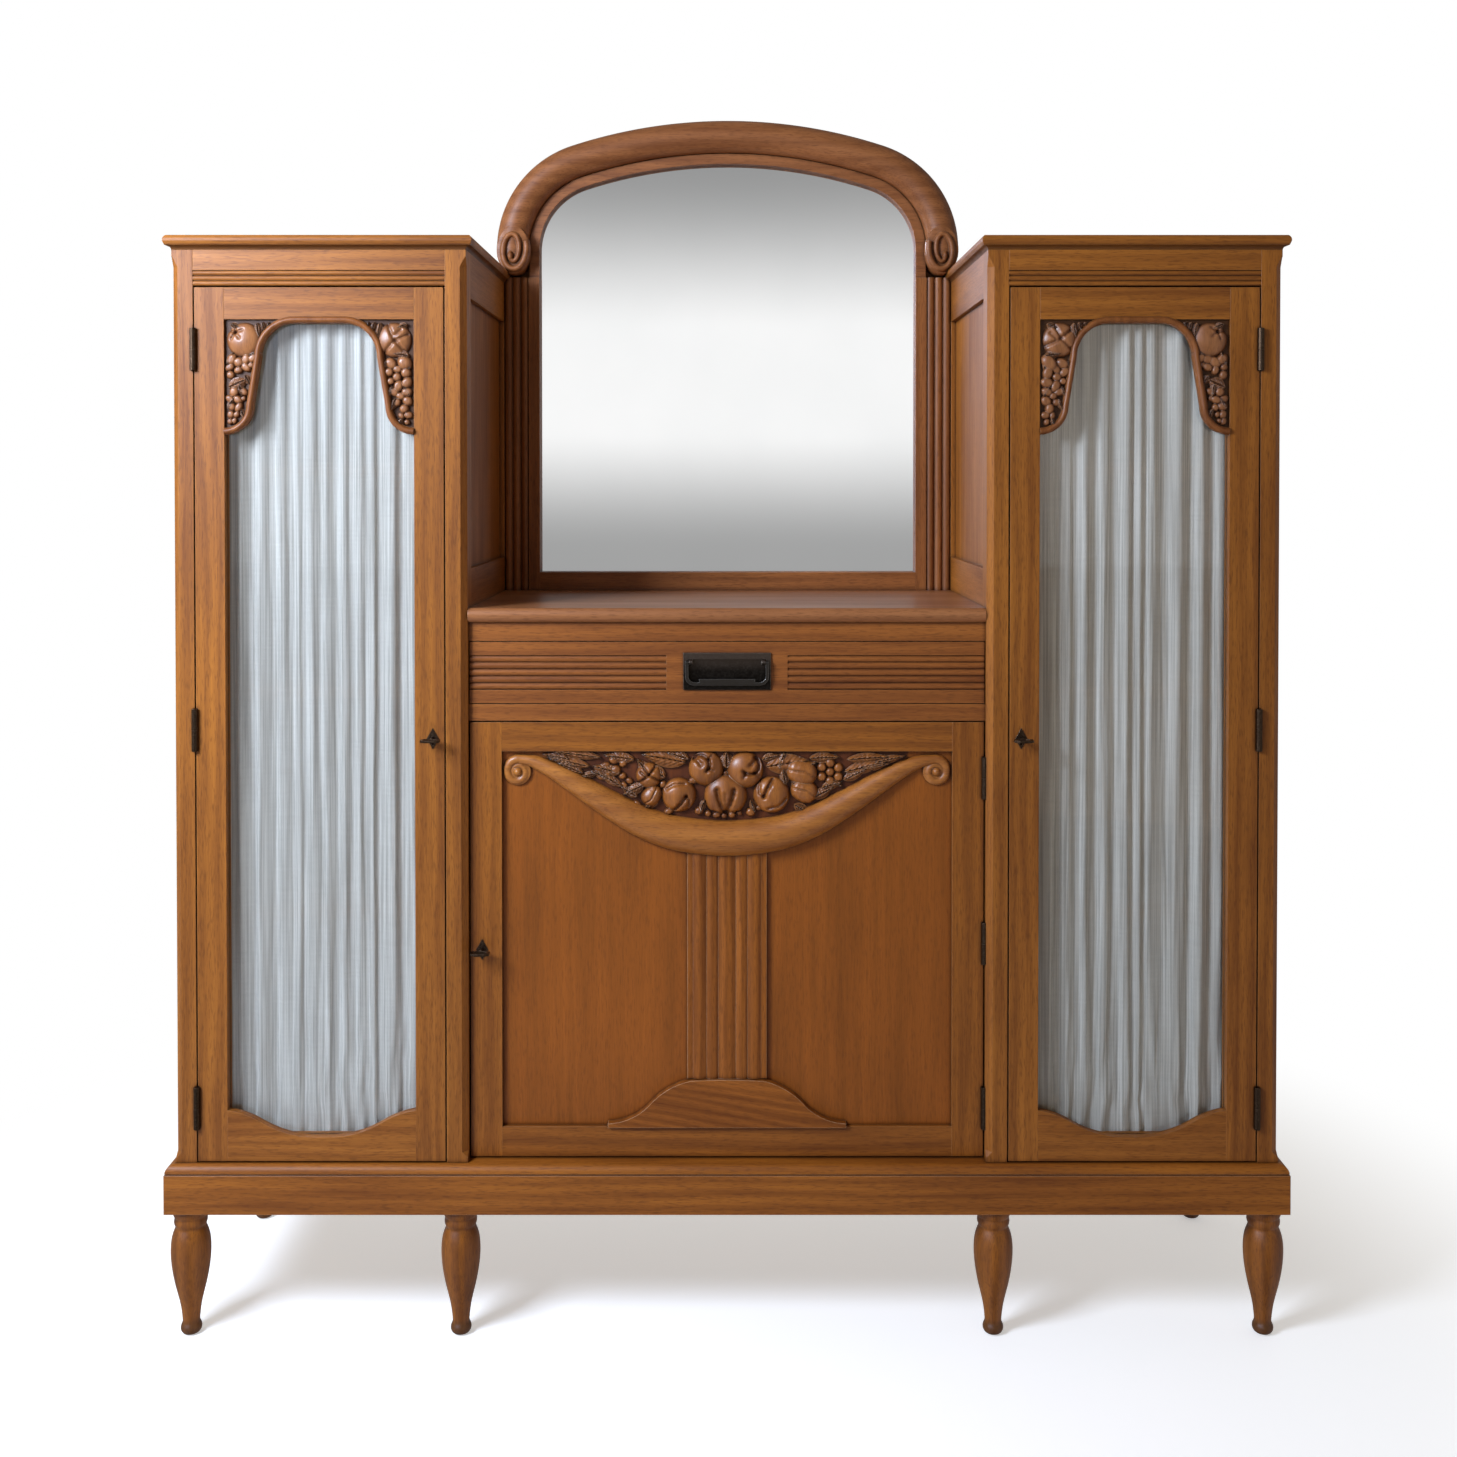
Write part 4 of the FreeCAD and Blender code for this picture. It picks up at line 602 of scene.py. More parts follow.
    def build(self) -> bpy.types.Material:
        """The material with its figure, flecks, painted shade, lightened edges (wear and painted highlight)
        and sheen.

        Returns:
            The material.
        """
        material, add = fresh(self.name)
        fibres = self.along(add)
        tone = self.tone(add, fibres)
        pores = self.noise(add, fibres, self.pore_width, self.pore_length, 1.0)
        pore = add("MapRange", {0: pores, 1: 0.52, 2: 0.70, 3: 0.0, 4: self.pore_depth})
        wood = add(
            "Mix", {0: tone, 6: linear(self.dark), 7: linear(self.light)}, data_type="RGBA").outputs[2]
        wood = add("Mix", {0: pore, 6: wood, 7: linear(self.pore)}, data_type="RGBA").outputs[2]
        eased = add("Bevel", {"Radius": self.easing * MM}, samples=4)
        facing = add("NewGeometry").outputs["Normal"]
        match = add("VectorMath", {0: eased, 1: facing}, operation="DOT_PRODUCT").outputs[1]
        # Edges are lightened towards the edge colour: partly real wear, partly painted highlight.
        lighter_share = add("MapRange", {0: match, 1: 0.985, 2: 0.80, 3: 0.0, 4: self.edge})
        wood = add("Mix", {0: lighter_share, 6: wood, 7: linear(self.rubbed_and_highlight)}, data_type="RGBA").outputs[2]
        # Painted shade: corners, grooves and gaps found by ambient occlusion are darkened.
        open_share = add("AmbientOcclusion", {"Distance": self.shade_reach * MM}, samples=6).outputs["AO"]
        shade_and_grime = add("MapRange", {0: open_share, 1: 0.25, 2: 0.95, 3: self.shade_depth, 4: 0.0})
        # Painted shade: the deeper into the recess, the darker.
        if self.sunk[0] != self.sunk[1]:
            place = add("TexCoord").outputs["Object"]
            deep = add("SeparateXYZ", {0: place}).outputs[1]
            shade_and_grime_mask = add(
                "MapRange",
                {0: deep, 1: self.sunk[1] * MM, 2: self.sunk[0] * MM, 3: 0.0, 4: self.sunk_shade})
            front = add(
                "MapRange",
                {0: deep, 1: (self.sunk[0] + 1) * MM, 2: (self.sunk[0] + 3) * MM, 3: 1.0, 4: 0.0})
            shade_and_grime_mask = add("Math", {0: shade_and_grime_mask, 1: front}, operation="MULTIPLY")
            shade_and_grime = add("Math", {0: shade_and_grime, 1: shade_and_grime_mask}, operation="MAXIMUM")
        # Painted shade in a band of levels, as under the cornice's nose; on the legs it is soiling and
        # painted shade together.
        if self.shade_and_grime_levels[0] != self.shade_and_grime_levels[1]:
            place = add("TexCoord").outputs["Object"]
            level = add("SeparateXYZ", {0: place}).outputs[2]
            shade_and_grime_mask = add(
                "MapRange",
                {0: level, 1: self.shade_and_grime_levels[0] * MM, 2: self.shade_and_grime_levels[1] * MM, 3: self.band_shade_and_grime, 4: 0.0})
            shade_and_grime = add("Math", {0: shade_and_grime, 1: shade_and_grime_mask}, operation="MAXIMUM")
        # All the painted shade, with the legs' soiling, is mixed into the colour here.
        wood = add("Mix", {0: shade_and_grime, 6: wood, 7: linear(self.shade_and_grime_colour)}, data_type="RGBA").outputs[2]
        relief = add("Bump", {"Strength": 0.22, "Distance": 0.2 * MM, "Height": tone, "Normal": eased})
        sheen = add("MapRange", {0: tone, 3: self.roughness + 0.06, 4: self.roughness - 0.06})
        shader = add(
            "BsdfPrincipled",
            {"Base Color": wood, "Roughness": sheen, "Normal": relief, "Specular IOR Level": self.gloss})
        add("OutputMaterial", {0: shader})
        return material


@dataclass(frozen=True)
class ClearGlass:
    """Old drawn window glass: nearly invisible, with a weak cool reflection."""

    name: str = "drawn_glass"
    tint: str = "#FBFDFD"
    roughness: float = 0.02

    def build(self) -> bpy.types.Material:
        """The glass, which lets lamp light through to the curtain.

        Returns:
            The material.
        """
        material, add = fresh(self.name)
        glass = add(
            "BsdfPrincipled", {"Base Color": linear(self.tint), "Roughness": self.roughness, "IOR": 1.5,
            "Transmission Weight": 1.0})
        clear = add("BsdfTransparent", {0: linear(self.tint)})
        path = add("LightPath")
        passing = add(
            "Math",
            {0: path.outputs["Is Shadow Ray"], 1: path.outputs["Is Diffuse Ray"]}, operation="MAXIMUM")
        both = add("MixShader", {0: passing, 1: glass, 2: clear})
        add("OutputMaterial", {0: both})
        return material


@dataclass(frozen=True)
class LookingGlass:
    """Silvered plate glass: a clear grey reflection with faint cloudy ageing."""

    name: str = "silvered_glass"
    silver: str = "#FBFBFB"
    cloud: str = "#F1F2F2"
    cloud_size: float = 180.0

    def build(self) -> bpy.types.Material:
        """The mirror.

        Returns:
            The material.
        """
        material, add = fresh(self.name)
        place = add("TexCoord").outputs["Object"]
        cloud = add("TexNoise", {"Vector": place, "Scale": 1000 / self.cloud_size, "Detail": 3.0})
        tint = add(
            "Mix", {0: cloud, 6: linear(self.silver), 7: linear(self.cloud)}, data_type="RGBA").outputs[2]
        haze = add("MapRange", {0: cloud, 3: 0.02, 4: 0.07})
        shader = add("BsdfPrincipled", {"Base Color": tint, "Metallic": 1.0, "Roughness": haze})
        add("OutputMaterial", {0: shader})
        return material


@dataclass(frozen=True)
class SheerCloth:
    """Plain-woven cotton voile: a soft white that light passes, with slubs in its weave.

    Its threads are drawn at five times their real spacing, because those are too
    fine to show.
    """

    name: str
    colour: str
    shade: str
    flat_width: float
    flat_length: float
    thread: float = 2.6
    slub: float = 60.0
    warp_slub: float = 260.0
    cover: float = 0.86

    def build(self) -> bpy.types.Material:
        """The cloth with its threads, slubs and see-through weave.

        Returns:
            The material.
        """
        material, add = fresh(self.name)
        weave = add("UVMap")
        flat = add(
            "VectorMath", {0: weave, 1: (self.flat_width, self.flat_length, 1)}, operation="MULTIPLY")
        warp = add(
            "VectorMath", {0: flat, 1: (1 / self.thread, 1 / self.warp_slub, 1)}, operation="MULTIPLY")
        weft = add("VectorMath", {0: flat, 1: (1 / self.slub, 1 / self.thread, 1)}, operation="MULTIPLY")
        upright = add("TexNoise", {"Vector": warp, "Scale": 1.0, "Detail": 2.0})
        level = add("TexNoise", {"Vector": weft, "Scale": 1.0, "Detail": 2.0})
        threads = add("Mix", {0: 0.12, 2: upright, 3: level}, data_type="FLOAT")
        threads = add("MapRange", {0: threads, 1: 0.30, 2: 0.70})
        colour = add(
            "Mix", {0: threads, 6: linear(self.shade), 7: linear(self.colour)},
            data_type="RGBA").outputs[2]
        relief = add("Bump", {"Strength": 0.12, "Distance": 0.2 * MM, "Height": threads})
        cover = add(
            "MapRange", {0: threads, 1: 0.12, 2: 0.75, 3: self.cover - 0.16, 4: self.cover + 0.08})
        cloth = add(
            "BsdfPrincipled", {"Base Color": colour, "Roughness": 0.85, "Normal": relief, "Alpha": cover,
            "Sheen Weight": 0.15})
        glow = add("BsdfTranslucent", {0: colour, "Normal": relief})
        both = add("MixShader", {0: 0.25, 1: cloth, 2: glow})
        add("OutputMaterial", {0: both})
        return material


@dataclass(frozen=True)
class AgedMetal:
    """Cast or rolled metal with an old patina, dark in the hollows, its edges lightened as wear and painted
    highlight, and painted shade low down where levels are given.
    """

    name: str
    metal: str
    patina: str
    roughness: float = 0.42
    grit: float = 3.0
    # How strongly edges show light metal, as wear and painted highlight.
    edge: float = 0.6
    wear: float = 0.35
    edge_width: float = 0.7
    # Painted shade: levels in z over which the patina darkens downwards, and the colour it darkens to.
    shaded: Point = (0.0, 0.0)
    shade_colour: str = "#15120F"

    def build(self) -> bpy.types.Material:
        """The metal with its patina, edges lightened as wear and painted highlight, and any painted shade.

        Returns:
            The material.
        """
        material, add = fresh(self.name)
        place = add("TexCoord").outputs["Object"]
        spots = add(
            "TexNoise", {"Vector": place, "Scale": 1000 / self.grit, "Detail": 4.0, "Roughness": 0.65})
        eased = add("Bevel", {"Radius": self.edge_width * MM}, samples=4)
        facing = add("NewGeometry").outputs["Normal"]
        match = add("VectorMath", {0: eased, 1: facing}, operation="DOT_PRODUCT").outputs[1]
        # Edges show light metal: partly real wear, partly painted highlight.
        rubbed_and_highlight = add("MapRange", {0: match, 1: 0.99, 2: 0.80, 3: 0.0, 4: self.edge})
        lighter_share = add("MapRange", {0: spots, 1: 0.45, 2: 0.75, 3: 0.0, 4: self.wear})
        metal_share = add("Math", {0: rubbed_and_highlight, 1: lighter_share}, operation="MAXIMUM")
        patina: object = linear(self.patina)
        # Painted shade: the patina darkens downwards over the given levels.
        if self.shaded[0] != self.shaded[1]:
            level = add("SeparateXYZ", {0: place}).outputs[2]
            shade_share = add(
                "MapRange", {0: level, 1: self.shaded[0] * MM, 2: self.shaded[1] * MM, 3: 0.92, 4: 0.15})
            patina = add(
                "Mix", {0: shade_share, 6: linear(self.patina), 7: linear(self.shade_colour)},
                data_type="RGBA").outputs[2]
        colour = add("Mix", {0: metal_share, 6: patina, 7: linear(self.metal)}, data_type="RGBA").outputs[2]
        dull = add("MapRange", {0: spots, 3: self.roughness - 0.08, 4: self.roughness + 0.14})
        relief = add("Bump", {"Strength": 0.2, "Distance": 0.08 * MM, "Height": spots, "Normal": eased})
        shader = add(
            "BsdfPrincipled",
            {"Base Color": colour, "Metallic": 1.0, "Roughness": dull, "Normal": relief})
        add("OutputMaterial", {0: shader})
        return material


Finish = Union[Oak, AgedMetal, SheerCloth, ClearGlass, LookingGlass]


@dataclass
class Bench:
    """Keeps each finish's material and dresses pieces with it."""

    ready: dict[str, bpy.types.Material] = field(default_factory=dict)

    def coat(self, piece: bpy.types.Object, finish: Finish) -> None:
        """Gives a piece its finish in one material slot.

        Args:
            piece: The piece.
            finish: Its finish.
        """
        if finish.name not in self.ready:
            self.ready[finish.name] = finish.build()
        piece.data.materials.clear()
        piece.data.materials.append(self.ready[finish.name])

    def hand_over(
        self,
        piece: bpy.types.Object,
        finish: Finish,
        body: str,
        nodes: Sequence[str] = (),
    ) -> None:
        """Dresses a new piece, sets it on its body and reports it.

        Args:
            piece: The finished mesh in its place.
            finish: Its finish.
            body: The body that it moves with.
            nodes: The CAD nodes that it stands for.
        """
        self.coat(piece, finish)
        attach(piece, body)
        if nodes:
            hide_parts(*nodes)
        log.info("%s rides on %s, %d faces", piece.name, body, len(piece.data.polygons))


# In the finishes below, the darkening colours, recess depths, level bands and occlusion reach paint shade
# into corners, grooves and recesses; the edge colours and strengths lighten edges, partly as wear and partly
# as painted highlight.
UPRIGHT_OAK = Oak("oak_upright")
LEVEL_OAK = Oak("oak_level", grain=Grain.LEVEL, light="#A26129", dark="#6A3611")
DEEP_OAK = Oak("oak_deep", grain=Grain.DEEP)
# Painted shade in the door heads' recesses.
DOOR_HEAD_OAK = Oak("oak_door_head", grain=Grain.LEVEL, shade_and_grime_colour="#2A1609", sunk=(-180.2, -184.0))
COUNTER_OAK = Oak("oak_counter", grain=Grain.LEVEL, light="#A66C41", dark="#7D4A26", roughness=0.36,
                  gloss=0.4)
TOWER_FRAME_OAK = Oak("oak_tower_frame", rail_middle=578.5, rail_half=134.4)
CENTRE_FRAME_OAK = Oak("oak_centre_frame", light="#A26120", dark="#66340B", rail_middle=0, rail_half=323,
                       rubbed_and_highlight="#C4925F", edge=0.45)
# Painted shade in a band under the cornice's nose; painted highlight with wear on its edges.
CORNICE_OAK = Oak("oak_cornice", grain=Grain.LEVEL, shade_and_grime_levels=(1557.0, 1562.5), edge=0.6)
# Painted shade in the reeds' grooves.
RAIL_OAK = Oak("oak_reeded_rail", grain=Grain.LEVEL, sunk=(-182.8, -184.4))
# Painted shade in the reeds' grooves.
DRAWER_OAK = Oak("oak_drawer_front", grain=Grain.LEVEL, light="#9D5D28", dark="#673410",
                 sunk=(-166.4, -168.4))
# Painted highlight with wear along the plinth's edges.
PLINTH_OAK = Oak("oak_plinth", grain=Grain.LEVEL, light="#A6631F", dark="#6A360A", rubbed_and_highlight="#CFA27E",
                 edge=0.6)
MIRROR_FRAME_OAK = Oak("oak_mirror_frame", light="#A06434", dark="#6B3B18", rail_middle=0, rail_half=311,
                       rubbed_and_highlight="#CFA27E", edge=0.5)
PANEL_OAK = Oak("oak_panel", light="#9A5418", dark="#733D09", figure=0.15, streak_width=16,
                patch=0.5, pore_depth=0.27, shade_reach=5)
# Painted highlight with wear along the pilaster's edges.
PILASTER_OAK = Oak("oak_pilaster", light="#9E5B1D", dark="#673305", rail_top=366, lean=-9, figure=0.6,
                   ring_width=20, streak_length=200, rubbed_and_highlight="#DDB890", edge=0.7)
SWAG_OAK = Oak("oak_swag", grain=Grain.LEVEL, light="#B47230", dark="#814616", roughness=0.38, edge=0.1,
               gloss=0.42)
# Painted shade between the fruit and near their ground; painted highlight with wear on the edges.
FRUIT_OAK = Oak("oak_fruit", light="#AE6A2C", dark="#6A3810", shade_and_grime_colour="#34160A", rubbed_and_highlight="#E0B586",
                pore_depth=0.3, roughness=0.35, shade_reach=11, shade_depth=0.98, edge=0.45,
                gloss=0.45, sunk=(-162.0, -169.0))
# Painted shade between the berries and near their ground; painted highlight with wear on the edges.
SPANDREL_OAK = Oak("oak_spandrel", light="#A66D41", dark="#744524", shade_and_grime_colour="#38190C", rubbed_and_highlight="#D8AE88",
                   pore_depth=0.3, roughness=0.33, shade_reach=8, shade_depth=0.98, edge=0.45,
                   gloss=0.45, sunk=(-181.5, -187.0))
BEAD_OAK = Oak("oak_bead", light="#93592B", dark="#603214", rubbed_and_highlight="#B98A62", roughness=0.38)
# Painted shade: a dark oak for the thin sheet laid over the swag's sunk ground.
SHADE_GROUND_OAK = Oak("oak_painted_shade_ground", light="#6C3615", dark="#481F09", roughness=0.5, edge=0.0)
INSIDE_OAK = Oak("oak_inside", light="#94683E", dark="#714623", roughness=0.6, shade_depth=0.5, edge=0.1)
INSIDE_LEVEL_OAK = Oak("oak_inside_level", grain=Grain.LEVEL, light="#94683E", dark="#714623",
                       roughness=0.6, shade_depth=0.5, edge=0.1)
ARCH_OAK = Oak("oak_arch", grain=Grain.LEVEL, light="#9B6238", dark="#6B3B1A", streak_length=180)
# Darker towards the foot: soiling and painted shade together.
LEG_OAK = Oak("oak_turned", light="#9F5D17", dark="#623206", shade_and_grime_colour="#3C2818", roughness=0.36, gloss=0.38,
              shade_and_grime_levels=(15.0, 24.0))
# Painted shade: the pull's dish darkens downwards from 972 to 952 mm.
DARK_BRONZE = AgedMetal("patinated_bronze", "#C8B8A4", "#57493E", roughness=0.36, edge=0.55, wear=0.04,
                        edge_width=1.0, shaded=(952.0, 972.0))
BAIL_BRONZE = AgedMetal("handled_bronze", "#E4DCD2", "#453F39", roughness=0.28, edge=0.3, wear=0.0,
                        grit=9.0, edge_width=1.4)
KEY_IRON = AgedMetal("browned_iron", "#7A6550", "#3B2C20", roughness=0.38)
ROD_BRASS = AgedMetal("drawn_brass", "#B8995A", "#7A6236", roughness=0.3)
LOCK_STEEL = AgedMetal("worn_steel", "#8A8886", "#4A4745", roughness=0.35)


# Sub-assemblies


@dataclass
class TurnedLegs:
    """Six turned legs under the plinth: collar, swelling body, ankle and ball foot."""

    height: float = 183.0
    diameter: float = 56.5
    front_y: float = -169.5
    rear_y: float = 181.0
    outer_x: float = 771.5
    middle_x: float = 383.0
    leg_turn: float = 37.0
    sides: int = 24
    rings: Sequence[Point] = (
        (0.20, 0.0), (0.372, 0.004), (0.46, 0.014), (0.535, 0.035), (0.530, 0.062), (0.475, 0.078),
        (0.432, 0.092), (0.425, 0.108), (0.44, 0.135), (0.50, 0.221), (0.62, 0.30), (0.756, 0.38),
        (0.86, 0.455), (0.945, 0.535), (0.995, 0.62), (1.0, 0.68), (0.975, 0.742), (0.90, 0.795),
        (0.80, 0.832), (0.755, 0.847), (0.757, 0.858), (0.80, 0.868), (0.83, 0.885), (0.83, 0.905),
        (0.79, 0.922), (0.80, 0.932), (0.875, 0.945), (0.885, 0.985), (0.885, 1.0),
    )

    def build(self, bench: Bench) -> None:
        """Turns one leg and stands its copies in their places.

        Args:
            bench: Where pieces are dressed.
        """
        outline = [(out * self.diameter / 2, up * self.height) for out, up in self.rings]
        first = turned("turned_leg", outline, self.sides, 1)
        smooth(first, 60)
        fronts = [(x, self.front_y) for x in (-self.outer_x, -self.middle_x, self.middle_x, self.outer_x)]
        rears = [(x, self.rear_y) for x in (-self.outer_x, self.outer_x)]
        for places, name in ((fronts, "front_legs"), (rears, "rear_legs")):
            legs = []
            for x, y in places:
                leg = copy_of(first, name)
                stand(leg, mm(x, y, 0), turn=(0, 0, self.leg_turn * len(legs)))
                legs.append(leg)
            row = joined(legs, "turned_" + name)
            bench.hand_over(row, LEG_OAK, "carcass", [name])
        pick_up([first])
        bpy.ops.object.delete()


@dataclass
class ArchRoll:
    """The bold roll over the mirror, which ends in a scroll at each side."""

    haunch_x: float = 201.5
    haunch_z: float = 1608.0
    haunch_radius: float = 153.75
    crown_radius: float = 803.75
    crown_z: float = 990.0
    meet: float = 71.94
    width: float = 53.0
    rise: float = 27.0
    base: float = 18.0
    base_front: float = 189.0
    scroll_x: float = 352.0
    scroll_z: float = 1605.0
    scroll_half_width: float = 29.0
    scroll_half_height: float = 42.0
    scroll_ground: float = 163.0
    scroll_back: float = 207.0
    scroll_start: float = 158.0
    scroll_turns: float = 1.42
    scroll_steps: int = 90
    band_width: float = 11.5
    band_rise: float = 8.0
    band_gap: float = 1.8
    band_taper: float = 0.28
    winding_ease: float = 0.12

    def path(self) -> list[Point]:
        """The roll's middle line from its right foot over the crown to its left foot.

        Returns:
            The line's points as x and z in millimetres.
        """
        haunch = (self.haunch_radius, self.haunch_radius)
        crown = (self.crown_radius, self.crown_radius)
        right = arc((self.haunch_x, self.haunch_z), haunch, -4, self.meet, 30)
        over = arc((0, self.crown_z), crown, self.meet, 180 - self.meet, 34)
        left = arc((-self.haunch_x, self.haunch_z), haunch, 180 - self.meet, 184, 30)
        return right + over[1:-1] + left

    def section(self) -> list[Point]:
        """The roll's section: a full round over a quirk and a square base.

        Returns:
            The section's points, across and outwards.
        """
        half = self.width / 2
        round_top = arc((0, 1.0), (half, self.rise - 1.0), -8, 188, 30)
        return [(half - 1.5, -self.base), *round_top, (-half + 1.5, -self.base)]

    def scroll(self, way: int) -> bpy.types.Object:
        """One scroll: an oval block with a tapering band wound round it.

        Args:
            way: 1 for the right-hand scroll and -1 for the left-hand one.

        Returns:
            The scroll.
        """
        centre = (way * self.scroll_x, self.scroll_z)
        put_down()
        bpy.ops.mesh.primitive_cylinder_add(
            vertices=64, radius=1.0, depth=(self.scroll_back - self.scroll_ground) * MM,
            rotation=(math.radians(90), 0, 0),
            location=mm(centre[0], (self.scroll_back + self.scroll_ground) / 2, centre[1]))
        block = started("scroll_block")
        block.scale = ((self.scroll_half_width - 2) * MM, (self.scroll_half_height - 2) * MM, 1)
        freeze(block)
        finish_with(block, "BEVEL", width=2.0 * MM, segments=2, limit_method="ANGLE")
        path, sizes = [], []
        inset = self.band_width / 2
        for step in range(self.scroll_steps):
            share = step / (self.scroll_steps - 1)
            angle = self.scroll_start + 360 * self.scroll_turns * share
            winding = self.band_width + self.band_gap
            drawn = winding * self.scroll_turns * share * (1 - self.winding_ease * share)
            wide = self.scroll_half_width - inset - drawn
            high = self.scroll_half_height - inset - drawn * 1.12
            bend = math.radians(angle)
            path.append((centre[0] + way * math.cos(bend) * max(wide, 1.5),
                         centre[1] + math.sin(bend) * max(high, 3.0)))
            sizes.append(1.0 - self.band_taper * share)
        band = sweep("scroll_band", path, half_round(self.band_width, self.band_rise, 2.0),
                     self.scroll_ground + 0.5, sizes)
        put_down()
        bpy.ops.mesh.primitive_uv_sphere_add(segments=24, ring_count=12, radius=1.0)
        eye = started("scroll_eye")
        end = path[-1]
        stand(eye, mm(end[0], self.scroll_ground, end[1] + 3), size=mm(5.0, 8.0, 8.5))
        return joined([block, band, eye], "scroll")

    def build(self, bench: Bench) -> None:
        """The roll with both scrolls, in place of the arch's plain moulding.

        Args:
            bench: Where pieces are dressed.
        """
        roll = sweep("arch_roll", self.path(), self.section(), self.base_front)
        piece = joined([roll, self.scroll(1), self.scroll(-1)], "arch_roll_with_scrolls")
        smooth(piece, 45)
        bench.hand_over(piece, ARCH_OAK, "carcass", ["arch_moulding"])


class Fruit(Enum):
    """The kinds of carved fruit."""

    SPLIT = "pomegranate with a three-pointed split"
    SEAM = "round fruit with one curved seam"
    CREST = "round fruit with a toothed crescent"
    STAR = "round fruit with a star calyx"
    PEAR = "pear or bud"
    CROSS = "round fruit crossed by two leaves"


